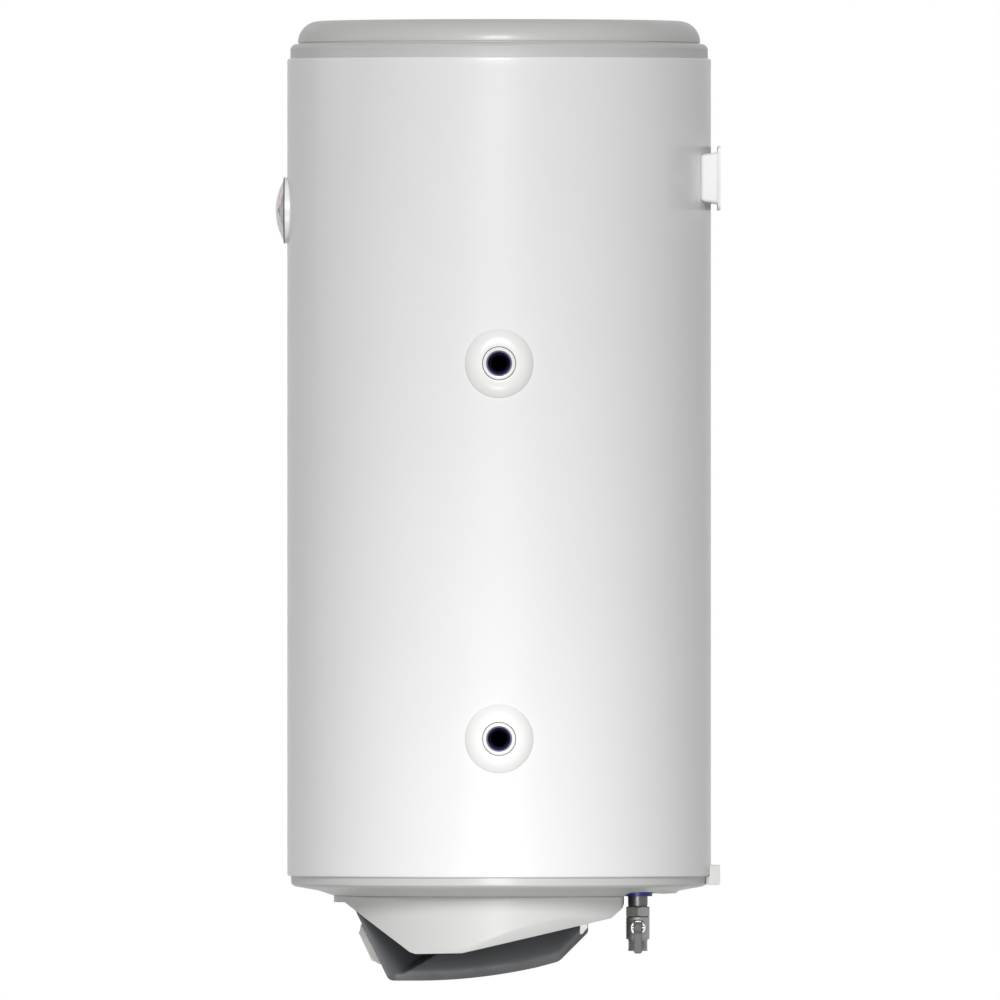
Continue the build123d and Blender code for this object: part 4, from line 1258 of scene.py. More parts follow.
@dataclass
class Thermometer:
    """Dial thermometer: bezel, domed scale, needle and clear dome.

    Attributes:
        rim: distance of the bezel's front from the tank's axis, in millimetres
        lens_edge: radius where the dome leaves the bezel, in millimetres
        dial_radius: of the scale's edge, in millimetres
        dial_arc: radius of the scale's dome, in millimetres
        reading: turn of the needle at rest, in degrees
        needle: distance of its tail and its tip from the spindle, in millimetres
        window: thickness of the clear dome, in millimetres
    """

    rim: float = 231.0
    lens_edge: float = 32.2
    dial_radius: float = 27.6
    dial_arc: float = 52.0
    reading: float = 120.0
    needle: tuple[float, float] = (-7.0, 23.0)
    window: float = 1.2

    def build(self) -> list[bpy.types.Object]:
        """Makes the four pieces.

        Returns:
            the pieces
        """
        self.z = float(node_centre("thermometer_bezel")[2])
        self.axes = facing_front(0.0, float(TANK[1]), self.z)
        self.dial_tip = (float(TANK[1]) - float(node_low("thermometer_dial")[1])) / MM
        return [self.bezel(), self.dial(), self.pointer(), self.lens()]

    def bezel(self) -> bpy.types.Object:
        """Can and bezel, the bezel's lip rolled and its seat stepped.

        Returns:
            the bezel
        """
        rim = self.rim
        lip = rounded(
            [(0, 205.0), (29.2, 205.0, 1.0), (29.2, 223.5, 0.6), (34.4, 222.6, 0.6),
             (35.5, 223.9, 0.4), (35.5, rim - 1.4, 0.3)])
        ring = rounded([(35.5, rim - 1.4), (35.6, rim - 0.9, 0.3), (34.6, rim, 0.5),
                        (32.9, rim, 0.3), (32.5, rim - 1.1, 0.2), (31.2, rim - 1.2)])
        seat = rounded([(31.2, rim - 1.2), (31.0, rim - 2.4, 0.3), (28.2, rim - 2.6, 0.3),
                        (28.0, rim - 4.9, 0.2), (24.0, rim - 5.0, 0.3), (24.0, 208.0, 0.4),
                        (0, 208.0)])
        shape = Shape().turned(subdivided(lip, 0.012), self.axes, 120)
        shape.turned(ring, self.axes, 120, slot=1).turned(subdivided(seat, 0.012), self.axes, 120)
        bezel = shape.mesh("thermometer_bezel_ring")
        return dress(bezel, "heater", [WHITE_PLASTIC, RING_GREY],
                     ["thermometer_bezel"])

    def dome(self, tip: float, radius: float, edge: float, steps: int = 16) -> Array:
        """(r, h) of a dome from its middle to its edge radius."""
        r = np.linspace(0, edge, steps + 1)
        return np.stack([r, tip - radius + np.sqrt(radius**2 - r**2)], 1) * MM

    def dial(self) -> bpy.types.Object:
        """Printed scale plate.

        Returns:
            the scale
        """
        top = self.dome(self.dial_tip, self.dial_arc, self.dial_radius)
        under = self.dome(self.dial_tip - 0.7, self.dial_arc - 0.7, self.dial_radius)[::-1]
        shape = Shape().turned(np.concatenate([top, under]), self.axes, 96)
        shape.turned(rounded([(0, 208.0), (3.0, 208.0, 0.2), (3.0, self.dial_tip - 0.9)]),
                     self.axes, 32)
        dial = shape.mesh("thermometer_scale")
        face = DialPrint("scale_print", (0.0, self.z))
        return dress(dial, "heater", [face], ["thermometer_dial"])

    def pointer(self) -> bpy.types.Object:
        """Needle that follows the scale's dome, with its boss and spindle.

        The needle's half-width falls from 1.7 mm at its tail over 1.6 mm at the spindle to
        0.45 mm at its tip, and its height is the dome's at that distance plus a small lift.

        Returns:
            the needle
        """
        tail, head = self.needle
        along = np.linspace(tail, head, 31)
        half = np.interp(along, [tail, 0, head], [1.7, 1.6, 0.45])
        turn = math.radians(self.reading)
        rings = []
        for lift, share in ((0.5, 1.0), (0.95, 1.0), (1.1, 0.75)):
            height = self.dial_tip - self.dial_arc + np.sqrt(
                (self.dial_arc + lift) ** 2 - along**2)
            for side in (-1, 1):
                u = side * half * share
                local = np.stack([u * math.cos(turn) - along * math.sin(turn),
                                  u * math.sin(turn) + along * math.cos(turn), height], 1)
                rings.append(self.axes.place(local * MM))
        order = [0, 2, 4, 5, 3, 1]
        body = np.stack([rings[k] for k in order], axis=1)
        shape = Shape().grid(body, False, True)
        for end in (body[0], body[-1]):
            shape.grid(np.stack([end, np.broadcast_to(end.mean(axis=0), end.shape)]), False, True)
        tip = self.dial_tip
        shape.turned(rounded([(0, tip + 2.1), (1.9, tip + 2.1, 0.6), (2.4, tip + 1.2, 0.3),
                              (2.4, tip + 0.2, 0.2), (0.75, tip + 0.2, 0.1), (0.75, 217.0),
                              (0, 217.0)]), self.axes, 40)
        pointer = shape.mesh("thermometer_needle")
        return dress(pointer, "pointer", [POINTER], ["thermometer_pointer"])

    def lens(self) -> bpy.types.Object:
        """Clear dome with its inner face and rim.

        Returns:
            the window
        """
        tip = (float(TANK[1]) - float(node_low("thermometer_lens")[1])) / MM
        rise = tip - self.rim
        radius = (self.lens_edge**2 + rise**2) / (2 * rise)
        wall = self.window
        outer = self.dome(tip, radius, self.lens_edge, 24)
        inner = self.dome(tip - wall, radius - wall, self.lens_edge - wall, 18)[::-1]
        rim = np.array([(self.lens_edge, self.rim - 1.0), (self.lens_edge - wall, self.rim - 1.0)])
        shape = Shape().turned(np.concatenate([outer, rim * MM, inner]), self.axes, 120)
        lens = shape.mesh("thermometer_window")
        clear = ClearFinish("clear_dome", (0.93, 0.95, 0.96), 0.10)
        return dress(lens, "heater", [clear], ["thermometer_lens"])


@dataclass
class ServiceCover:
    """Light drum-shaped cover under the tank, cut by one side outline.

    Attributes:
        radius: of the drum, in millimetres
        wall: thickness in millimetres
        opening: half-width of the middle opening, in millimetres
        opening_rear: Y of the opening's rear edge, in millimetres
        top: Z of its upper edge, in millimetres
        rear: Y of its flat rear wall, in millimetres
        outline: lower edge seen from the side, (Y, Z) in millimetres
        counterbore: radius of the screws' counterbores, in metres
        seat: Z of their floors, in millimetres
        facet_high: greatest height of the bevelled strip, in millimetres
        facet_edge: height that the strip keeps elsewhere, in millimetres
        facet_in: how far it leans inwards, as a share of its height
    """

    radius: float = 177.0
    wall: float = 2.5
    opening: float = 88.4
    opening_rear: float = -140.0
    top: float = -768.1
    rear: float = -104.0
    outline: tuple[tuple[float, float], ...] = (
        (-420.0, -774.9), (-401.6, -774.9), (-331.9, -827.0), (-326.0, -829.0),
        (-276.2, -828.0), (-116.7, -791.1), (-106.8, -782.5), (-104.0, -779.4),
    )
    counterbore: float = 0.0046
    seat: float = -776.0
    facet_high: float = 11.0
    facet_edge: float = 0.35
    facet_in: float = 0.55

    def build(self) -> list[bpy.types.Object]:
        """Makes the cover.

        Returns:
            the cover
        """
        shape = Shape()
        rows = self.turns()
        side = rows[rows >= -math.acos(self.opening / self.radius) - 1e-9]
        wall = np.concatenate([rows[:-1], (-np.pi - rows)[::-1]])
        self.skirt(shape, wall)
        right, left = self.wing(side)
        for points in (right, left):
            self.bored(shape, points)
        centre = self.bridge(shape, right, left)
        self.back(shape, right, left, centre)
        cover = shape.mesh("service_cover_drum", weld=2e-6)
        thicken(cover, self.wall * MM)
        return [dress(cover, "heater", [COVER_PLASTIC], ["electrical_cover"])]

    def turns(self) -> Array:
        """Angles of the wall's columns, from the rear corner to the front, right side.

        Evenly spaced, with the outline's corners and the opening's corners among them.

        Returns:
            the angles in radians
        """
        centre = TANK[1] / MM
        breaks = [y for y, _ in self.outline[1:-1]] + [self.opening_rear]
        start = math.asin((self.rear - centre) / self.radius)
        cuts = [math.asin((y - centre) / self.radius) for y in breaks]
        cuts += [-math.acos(self.opening / self.radius), start, -math.pi / 2]
        even = np.linspace(start, -math.pi / 2, 70)
        far = even[np.min(np.abs(even[:, None] - np.array(cuts)), axis=1) > 0.012]
        return np.sort(np.concatenate([far, cuts]))[::-1]

    def lower(self, y: Array) -> Array:
        """Z of the lower outline at a Y, both in millimetres."""
        ys, zs = np.array(self.outline).T
        return np.interp(y, ys, zs)

    def facet(self, y: Array) -> Array:
        """Height of the bevelled strip along the rising rear edge, in millimetres."""
        rise = smooth_step(-305, -205, y) * (1 - smooth_step(-165, -112, y))
        return self.facet_high * rise + self.facet_edge

    def rim(self, turn: Array) -> Array:
        """Lower edge of the facet: the wall moved inwards by a share of the facet's height.

        Args:
            turn: angles of the wall's columns

        Returns:
            (n, 3) points in millimetres
        """
        centre = TANK[1] / MM
        y = centre + self.radius * np.sin(turn)
        in_by = self.facet_in * (self.facet(y) - self.facet_edge)
        r = self.radius - in_by
        y = centre + r * np.sin(turn)
        return np.stack([r * np.cos(turn), y, self.lower(y)], axis=-1)

    def skirt(self, shape: Shape, turn: Array) -> None:
        """Cylinder wall from the top edge down to the facet, then the facet.

        Args:
            shape: that takes the surface
            turn: angles of the wall's columns
        """
        centre = TANK[1] / MM
        x, y = self.radius * np.cos(turn), centre + self.radius * np.sin(turn)
        high = self.lower(y) + self.facet(y)
        t = np.linspace(0, 1, 13)[:, None]
        z = (1 - t) * self.top + t * np.minimum(high, self.top - 2)
        wall = np.stack([x + 0 * t, y + 0 * t, z], axis=-1)
        shape.grid(np.concatenate([wall, self.rim(turn)[None]]) * MM)

    def wing(self, turn: Array) -> tuple[Array, Array]:
        """Underside beside the opening: x runs in even steps from its edge to the rim.

        Args:
            turn: angles of the columns beside the opening

        Returns:
            the right and the left wing, (rows, 17, 3) in millimetres
        """
        rim = self.rim(turn)
        share = np.linspace(0, 1, 17)[None, :]
        x = self.opening + (rim[:, :1] - self.opening) * share
        right = np.stack([x, rim[:, 1:2] + 0 * x, rim[:, 2:3] + 0 * x], axis=-1)
        return right, right * [-1, 1, 1]

    def bored(self, shape: Shape, points: Array) -> None:
        """Adds a wing with its two counterbored screw holes.

        Args:
            shape: that takes the surface
            points: of the wing
        """
        side = np.sign(points[0, -1, 0])
        holes = []
        for y in SCREW_Y:
            row = int(np.argmin(np.abs(points[:, 0, 1] - y)))
            column = int(np.argmin(np.abs(points[row, :, 0] - side * SCREW_X)))
            holes.append(Hole((side * SCREW_X * MM, y * MM), self.counterbore,
                              (row - 3, row + 3), (column - 2, column + 2)))
        rims = holed_grid(shape, points[..., :2] * MM, self.fold_low, holes)
        for circle, hole in zip(rims, holes):
            away = circle - np.array(hole.centre)
            small = np.array(hole.centre) + away * 0.5
            mouth = self.fold_low(circle)
            seat = np.full((len(circle), 1), self.seat * MM)
            floor = np.concatenate([circle, seat], axis=1)
            inner = np.concatenate([small, seat], axis=1)
            shape.grid(np.stack([mouth, (mouth + floor) / 2, floor, inner]), False, True)

    def fold_low(self, flat: Array) -> Array:
        """Puts (x, y) points in metres on the underside."""
        z = self.lower(flat[..., 1] / MM) * MM
        return np.concatenate([flat, z[..., None]], axis=-1)

    def bridge(self, shape: Shape, right: Array, left: Array) -> Array:
        """Underside behind the opening, between the wings.

        Args:
            shape: that takes the surface
            right: points of the right wing
            left: points of the left wing

        Returns:
            the points of the strip
        """
        rows = right[:, 0, 1] >= self.opening_rear - 1e-6
        a, b = left[rows, 0], right[rows, 0]
        t = np.linspace(0, 1, 25)[None, :, None]
        strip = (1 - t) * a[:, None] + t * b[:, None]
        shape.grid(strip * MM)
        return strip

    def back(self, shape: Shape, right: Array, left: Array, centre: Array) -> None:
        """Flat rear wall above the underside's last row.

        Args:
            shape: that takes the surface
            right: points of the right wing
            left: points of the left wing
            centre: points of the strip between them
        """
        low = np.concatenate([left[0, ::-1], centre[0, 1:-1], right[0]])
        high = low * [1, 1, 0] + [0, 0, self.top]
        t = np.linspace(0, 1, 4)[:, None, None]
        shape.grid(((1 - t) * high + t * low) * MM)


@dataclass
class ControlCover:
    """Dark nose-shaped cover with a sloped panel, a bowed belly and a dished side.

    Attributes:
        half: half its width, in millimetres
        wall: thickness in millimetres
        front: top and foot of the sloped panel, (Y, Z) in millimetres
        nose: radius where the panel turns under, in millimetres
        belly: start, a middle point and end of the bowed underside, (Y, Z)
        tail: the three points behind the belly, (Y, Z)
        corner: radius of the edge round the side, in millimetres
        top: Z of the upper edge, in millimetres
        drum: radius that the part inside the service cover keeps to, in millimetres
        drum_low: Z of the lower end of that part, in millimetres
        pocket: depth and run of the pocket behind the panel, in millimetres
        ridge: point (Y, Z) of the ridge behind the pocket
        ridge_way: direction across that ridge
        ridge_run: length of the ramp at it, in millimetres
        cheek: half-width behind the ridge, in millimetres
        tuck: how far the side draws in at its lower edge, and over which height
        dish: depth of the dish above
        dish_span: heights between which it deepens, in millimetres
    """

    half: float = 88.0
    wall: float = 2.5
    front: tuple[tuple[float, float], ...] = ((-394.0, -775.2), (-354.4, -858.4))
    nose: float = 8.0
    belly: tuple[tuple[float, float], ...] = ((-325.0, -858.4), (-258.0, -854.6), (-195.4, -844.0))
    tail: tuple[tuple[float, float], ...] = ((-172.4, -837.8), (-141.3, -806.7), (-141.3, -797.3))
    corner: float = 0.9
    top: float = -775.2
    drum: float = 174.1
    drum_low: float = -785.6
    pocket: tuple[float, float] = (46.0, 44.0)
    ridge: tuple[float, float] = (-337.0, -850.0)
    ridge_way: tuple[float, float] = (0.518, -0.855)
    ridge_run: float = 5.5
    cheek: float = 85.5
    tuck: tuple[float, float] = (1.6, 12.0)
    dish: float = 13.0
    dish_span: tuple[float, float] = (8.0, 46.0)

    def build(self) -> list[bpy.types.Object]:
        """Makes the cover.

        One grid: its rows follow the side outline from the panel's top over the nose to the
        tail; its columns run down one side, round the lower edge, across and up the other side.

        Returns:
            the cover and its latch
        """
        edge = self.outline()
        share = np.linspace(0, 1, len(edge)) ** 1.15
        upper = np.stack([self.front[0][0] + share * (self.tail[-1][0] - self.front[0][0]),
                          np.full(len(edge), self.top)], axis=1)
        corner = self.corner
        way = upper - edge
        length = np.maximum(np.linalg.norm(way, axis=1, keepdims=True), 1e-6)
        way = way / length
        t = np.linspace(1, 0, 64)[None, :, None]
        start = edge + way * np.minimum(corner, length)
        side = (1 - t) * start[:, None] + t * upper[:, None]
        x = self.side(side[..., 0], side[..., 1])
        turn = np.radians(np.linspace(0, 90, 7))[1:]
        bend = edge[:, None] + (way * np.minimum(corner, length))[:, None] * (
            1 - np.sin(turn))[None, :, None]
        bend_x = x[:, -1:] - corner * (1 - np.cos(turn))[None, :]
        across = bend_x[:, -1:] * np.linspace(1, 0, 15)[None, 1:]
        flat = np.broadcast_to(edge[:, None], (len(edge), 14, 2))
        half_x = np.concatenate([x, bend_x, across], axis=1)
        half_p = np.concatenate([side, bend, flat], axis=1)
        right = np.concatenate([half_x[..., None], half_p], axis=-1)
        left = (right * [-1, 1, 1])[:, -2::-1]
        shape = Shape().grid(np.concatenate([right, left], axis=1) * MM)
        cover = shape.mesh("control_cover_nose", weld=2e-6)
        thicken(cover, self.wall * MM)
        return [dress(cover, "heater", [DARK_PLASTIC], ["control_cover"]),
                self.latch()]

    def outline(self) -> Array:
        """Side outline, evenly divided, its nose and tail corners rounded.

        Returns:
            (n, 2) points (Y, Z) in millimetres
        """
        (fy, fz), (ny, nz) = self.front
        points = [(fy, fz, 0), (ny, nz, self.nose * 0.72), (*self.belly[0], 0)]
        lead = rounded(points, 10) / MM
        bow = self.bow(36)
        rear = rounded([(*self.belly[2], 0), (*self.tail[0], 4.0), (*self.tail[1], 3.0),
                        (*self.tail[2], 0)], 6) / MM
        whole = np.concatenate([lead, bow[1:], rear[1:]])
        return subdivided(whole, 2.2)

    def bow(self, steps: int) -> Array:
        """The belly: the parabola through its three points, Z over Y.

        Args:
            steps: spans along it

        Returns:
            (n, 2) points (Y, Z) in millimetres
        """
        ys, zs = np.array(self.belly).T
        fit = np.polyfit(ys, zs, 2)
        y = np.linspace(ys[0], ys[-1], steps + 1)
        return np.stack([y, np.polyval(fit, y)], axis=1)

    def side(self, y: Array, z: Array) -> Array:
        """X of the side, in millimetres.

        d is the distance behind the panel and e the distance behind a ridge that rises from
        the nose; h is the height above the belly. The wing falls from the full half-width as
        d to the power 1.7, down to a deep pocket; a short ramp at the ridge brings it out again,
        and behind the ridge the side bulges a little over its lower edge, then dishes as h
        grows.

        Args:
            y: in millimetres
            z: in millimetres

        Returns:
            X for every Y and Z
        """
        (fy, fz), (ny, nz) = self.front
        run = math.hypot(ny - fy, nz - fz)
        d = (y - fy) * (fz - nz) / run + (z - fz) * (ny - fy) / run
        e = (y - self.ridge[0]) * self.ridge_way[0] + (z - self.ridge[1]) * self.ridge_way[1]
        belly = np.interp(y, *np.concatenate([self.bow(20), np.array(self.tail)[:2]]).T)
        h = z - belly
        wing = self.half - self.pocket[0] * np.clip(d / self.pocket[1], 0, 1) ** 1.7
        low = np.clip(1 - h / self.tuck[1], 0, 1)
        dish = self.cheek - self.tuck[0] * low**2 - self.dish * smooth_step(*self.dish_span, h)
        ramp = np.clip((e + self.ridge_run) / self.ridge_run, 0, 1)
        x = wing + (dish - wing) * ramp
        inside = np.sqrt(np.maximum(self.drum**2 - (y - TANK[1] / MM) ** 2, 1.0))
        return np.where(z > self.drum_low, np.minimum(x, inside), x)

    @staticmethod
    def latch() -> bpy.types.Object:
        """Two light lugs that latch the tail from outside.

        Returns:
            the lugs
        """
        lugs = carried_copy("cover_hook_lugs", "cover_latch_lugs")
        bevel(lugs, 0.4 * MM)
        return dress(lugs, "heater", [WHITE_PLASTIC], ["cover_hook_lugs"])


@dataclass
class Controls:
    """Thermostat knob and pilot lamp on the sloped panel.

    Attributes:
        centre: of the knob on the panel, in metres
        normal: of the panel
        lamp: distance of the lamp beside the knob, in millimetres
        ribs: round the knob's skirt
        rib_depth: half their depth, in metres
    """

    centre: tuple[float, float, float] = (0.0, -0.3728, -0.8198)
    normal: tuple[float, float, float] = (0.0, -0.903, -0.430)
    lamp: float = 42.0
    ribs: int = 48
    rib_depth: float = 0.00016

    def build(self) -> list[bpy.types.Object]:
        """Makes the knob and the lamp.

        Returns:
            the pieces
        """
        w = np.array(self.normal) / np.linalg.norm(self.normal)
        u = np.array([1.0, 0.0, 0.0])
        v = np.cross(w, u)
        self.axes = Axes(self.centre, tuple(u), tuple(v), tuple(w))
        beside = np.array(self.centre) + u * self.lamp * MM
        self.lamp_axes = Axes(tuple(beside), tuple(u), tuple(v), tuple(w))
        return [self.knob(), self.pilot()]

    def knob(self) -> bpy.types.Object:
        """Conical knob with a ribbed skirt and a grip bar.

        The skirt's radius is the profile's less d (1 - cos(n a)) over its sloping flank, for n
        ribs of the rib depth d.

        Returns:
            the knob
        """
        profile = rounded(
            [(2.95, 4.6), (12.0, 4.6, 0.3), (12.0, 0.5, 0.3), (23.75, 0.5, 0.4), (23.45, 2.1, 0.5),
             (18.4, 5.7, 0.8), (17.5, 6.2, 0.4), (0, 6.2)])
        profile = subdivided(profile, 0.0012)
        a = np.linspace(0, 2 * np.pi, 288, endpoint=False)[None, :]
        r, h = profile[:, :1], profile[:, 1:]
        flank = smooth_step(0.0182, 0.0192, r) * smooth_step(0.0016, 0.0022, h)
        r = r - self.rib_depth * flank * (1 - np.cos(self.ribs * a))
        local = np.stack([r * np.cos(a), r * np.sin(a), h + 0 * a], axis=-1)
        shape = Shape().grid(self.axes.place(local), False, True)
        rings = [(0, 6.0), (0, 6.2), (0.15, 6.6)] + [
            (1.35 - 1.2 * math.cos(t), 6.6 + 1.2 * math.sin(t)) for t in
            np.radians(np.linspace(15, 90, 6))] + [(2.4, 7.8), (3.5, 7.8)]
        slab(shape, self.axes, (3.5, 17.5), 2.6, rings)
        bore = rounded([(2.95, 4.6), (2.95, 5.8), (0, 5.8)])
        shape.turned(bore, self.axes, 288)
        knob = shape.mesh("temperature_knob")
        return dress(knob, "knob", [KNOB_PLASTIC], ["control_knob"])

    def pilot(self) -> bpy.types.Object:
        """Lens dome in front of the panel and its body behind.

        Returns:
            the lamp
        """
        shape = Shape().turned(
            rounded([(0, 2.0), (4.4, 2.0, 1.4), (6.6, 1.4, 0.9), (6.6, 0.1, 0.15), (5.0, 0.1, 0.1),
                     (5.0, -16.0, 0.5), (0, -16.0)], 6), self.lamp_axes, 64)
        lamp = shape.mesh("pilot_lamp_lens")
        clear = ClearFinish("lamp_clear", (0.82, 0.80, 0.76), 0.72, 0.08)
        return dress(lamp, "heater", [clear], ["pilot_lamp"])


@dataclass
class Plumbing:
    """Pipes, collars and the safety valve.

    Attributes:
        pipe: outside radius of the threaded ends, in millimetres
        bore: of the pipes, in millimetres
        collar: radius of the coloured rings, in millimetres
        barrel: radius of the valve's barrel, in millimetres
        valve_bore: radius of its bore, in millimetres
        bonnet: radius of the relief bonnet, in millimetres
        relief_z: height of the relief axis, in millimetres
        web_reach: first and last angle of the lever's web, in degrees
        web_half: half the ellipse's size along X and Z, in millimetres
        web_wall: thickness of the web, in millimetres
        head_half: half the width of the lever's head, in millimetres
    """

    pipe: float = 10.48
    bore: float = 8.0
    collar: float = 15.5
    barrel: float = 12.5
    valve_bore: float = 7.5
    bonnet: float = 8.15
    relief_z: float = -801.9
    web_reach: tuple[float, float] = (-62.0, 48.0)
    web_half: tuple[float, float] = (4.6, 7.1)
    web_wall: float = 0.9
    head_half: float = 4.75

    def build(self) -> list[bpy.types.Object]:
        """Makes every pipe piece.

        Returns:
            the pieces
        """
        cold, hot = node_centre("cold_inlet_pipe"), node_centre("hot_outlet_pipe")
        self.cold, self.hot = upright(*map(float, cold[:2])), upright(*map(float, hot[:2]))
        self.relief = facing_right(0.0, float(cold[1]), self.relief_z * MM)
        return [self.cold_pipe(), self.hot_pipe(), self.ring(self.cold, "cold", BLUE),
                self.ring(self.hot, "hot", RED), self.body(), self.cap(), self.lever(), self.web()]

    def cold_pipe(self) -> bpy.types.Object:
        """Inlet nipple, turned smooth where it shows.

        Returns:
            the nipple
        """
        low, high = (float(node("cold_inlet_pipe")[2]) / MM for node in (node_low, node_high))
        r = self.pipe
        shape = Shape().turned(subdivided(rounded(
            [(self.bore, low), (r, low, 0.4), (r, -779.4, 0.2), (r - 0.35, -778.9, 0.2),
             (r - 0.35, -778.0, 0.2), (r, -777.5, 0.2), (r, high, 0.4), (self.bore, high),
             (self.bore, low)]), 0.02), self.cold, 64)
        nipple = shape.mesh("cold_inlet_nipple")
        return dress(nipple, "heater", [NICKEL_DARK], ["cold_inlet_pipe"])

    def hot_pipe(self) -> bpy.types.Object:
        """Outlet pipe with a threaded end.

        Returns:
            the pipe
        """
        low, high = (float(node("hot_outlet_pipe")[2]) / MM for node in (node_low, node_high))
        shape = Shape()
        threaded(shape, self.hot, self.pipe, (low + 0.6, -770.0), 1.0)
        shape.turned(rounded([(self.bore, low), (self.pipe - 0.8, low, 0.2),
                              (self.pipe, low + 0.6)]), self.hot, 60)
        shape.turned(subdivided(rounded(
            [(self.pipe, -770.0), (self.pipe, -769.3, 0.2), (10.1, -769.0, 0.2), (10.1, high, 0.4),
             (self.bore, high, 0.2), (self.bore, low)]), 0.03), self.hot, 60)
        pipe = shape.mesh("hot_outlet_threaded")
        return dress(pipe, "heater", [NICKEL_DARK], ["hot_outlet_pipe"])

    def ring(self, axes: Axes, name: str, finish: Finish) -> bpy.types.Object:
        """Coloured collar with a soft lower edge.

        Args:
            axes: of its pipe
            name: "cold" or "hot"
            finish: of the collar

        Returns:
            the collar
        """
        inner, outer = self.pipe + 0.02, self.collar
        shape = Shape().turned(rounded(
            [(inner, -760.0), (inner, -768.4, 0.6), (outer, -768.4, 1.0), (outer, -763.0, 0.3),
             (outer, -760.0, 0.4), (inner, -760.0)]), axes, 64)
        collar = shape.mesh(f"{name}_pipe_collar")
        return dress(collar, "heater", [finish], [f"{name}_collar"])

    def body(self) -> bpy.types.Object:
        """Hexagon, barrel, threaded tail, relief boss and drain spout.

        Returns:
            the valve body
        """
        shape = Shape()
        hexagon(shape, self.cold, 24.9, (-790.1, -779.7))
        barrel, bore = self.barrel, self.valve_bore
        shape.turned(subdivided(rounded(
            [(self.pipe, -780.2), (self.pipe, -785.7), (bore, -785.7, 0.3), (bore, -811.0, 0.3),
             (5.0, -811.0, 0.2), (5.0, -815.0, 0.2), (bore, -815.0, 0.2), (bore, -827.0, 0.3),
             (self.pipe - 0.7, -827.0, 0.2), (self.pipe, -826.4)]), 0.006), self.cold, 60)
        threaded(shape, self.cold, self.pipe, (-826.4, -815.0), 0.7)
        shape.turned(subdivided(rounded(
            [(self.pipe, -815.0), (self.pipe, -814.4), (barrel, -814.4, 0.7),
             (barrel, -790.8, 0.5), (11.4, -790.1)]), 0.004), self.cold, 60)
        boss = self.bonnet
        shape.turned(rounded([(4.2, 59.0), (4.2, 64.0), (boss, 64.0, 0.3), (boss + 1.1, 59.5, 0.4),
                              (boss + 1.1, 56.0)]), self.relief, 64)
        spout = facing_left(0.0, self.relief.origin[1], self.relief.origin[2])
        shape.turned(rounded([(5.8, -41.5), (5.8, -36.5, 0.3), (4.5, -36.5), (3.7, -34.8, 0.1),
                              (4.5, -33.0, 0.1), (3.7, -30.8, 0.1), (4.5, -29.0, 0.1),
                              (3.7, -26.4, 0.2),
                              (3.5, -24.0, 0.3), (2.8, -24.0, 0.2), (2.8, -38.0)]), spout, 48)
        valve = shape.mesh("safety_valve_body")
        return dress(valve, "heater", [NICKEL], ["valve_body"])

    def cap(self) -> bpy.types.Object:
        """Bonnet over the relief spring; its outside and front ring take a brighter copy of the
        nickel, which paints on the ring's highlight, and its recess the plain nickel.

        Returns:
            the bonnet
        """
        r, face = self.bonnet, float(node_high("valve_bonnet")[0]) / MM
        shape = Shape().turned(rounded(
            [(6.2, 64.5), (6.2, 64.0), (r, 64.0, 0.3), (r, face - 1.6, 0.2), (r - 0.25, face - 1.3),
             (r - 0.2, face - 0.9, 0.3), (r - 1.0, face, 0.3), (r - 1.7, face, 0.2)]),
            self.relief, 72)
        shape.turned(rounded([(r - 1.7, face), (r - 2.1, face - 0.5, 0.2), (2.05, face - 0.5, 0.1),
                              (2.05, face - 1.5), (6.2, face - 1.5, 0.3), (6.2, 64.5)]),
                     self.relief, 72, slot=1)
        bonnet = shape.mesh("relief_bonnet")
        return dress(bonnet, "heater", [NICKEL_PAINTED_HIGHLIGHT, NICKEL], ["valve_bonnet"])

    def lever(self) -> bpy.types.Object:
        """Relief lever with softened edges, its ears dressed down to the arm's width.

        Returns:
            the lever
        """
        lever = carried_copy("valve_lever", "relief_lever")
        middle = float(node_low("lever_pin")[1] + node_high("lever_pin")[1]) / 2
        held = np.empty(3 * len(lever.data.vertices), np.float32)
        lever.data.vertices.foreach_get("co", held)
        points = held.astype(float).reshape(-1, 3)
        half = self.head_half * MM
        points[:, 1] = middle + np.clip(points[:, 1] - middle, -half, half)
        lever.data.vertices.foreach_set("co", points.astype(np.float32).ravel())
        lever.data.update()
        bevel(lever, 0.3 * MM)
        return dress(lever, "lever", [LEVER_GREY], ["valve_lever"])

    def web(self) -> bpy.types.Object:
        """Pressed web that joins the lever's ears in front of its pin.

        Its section is the ellipse (p cos a, q sin a) about the pin, for a within the reach.

        Returns:
            the web
        """
        middle = (node_low("lever_pin") + node_high("lever_pin")) / 2 / MM
        a = np.radians(np.linspace(*self.web_reach, 33))
        p, q = self.web_half
        skin = [np.stack([middle[0] + (p - inset) * np.cos(a),
                          middle[2] + (q - inset) * np.sin(a)], axis=1)
                for inset in (0, self.web_wall)]
        loop = np.concatenate([skin[0], skin[1][::-1]])
        points = np.stack([np.insert(loop, 1, middle[1] + side * (self.head_half - 0.1), axis=1)
                           for side in (-1, 1)], axis=1) * MM
        web = Shape().grid(points, wrap_rows=True)
        for side in (0, 1):
            web.grid(np.stack([points[:len(a), side], points[len(a):, side][::-1]]))
        piece = web.mesh("relief_lever_web")
        return dress(piece, "lever", [LEVER_GREY], [])


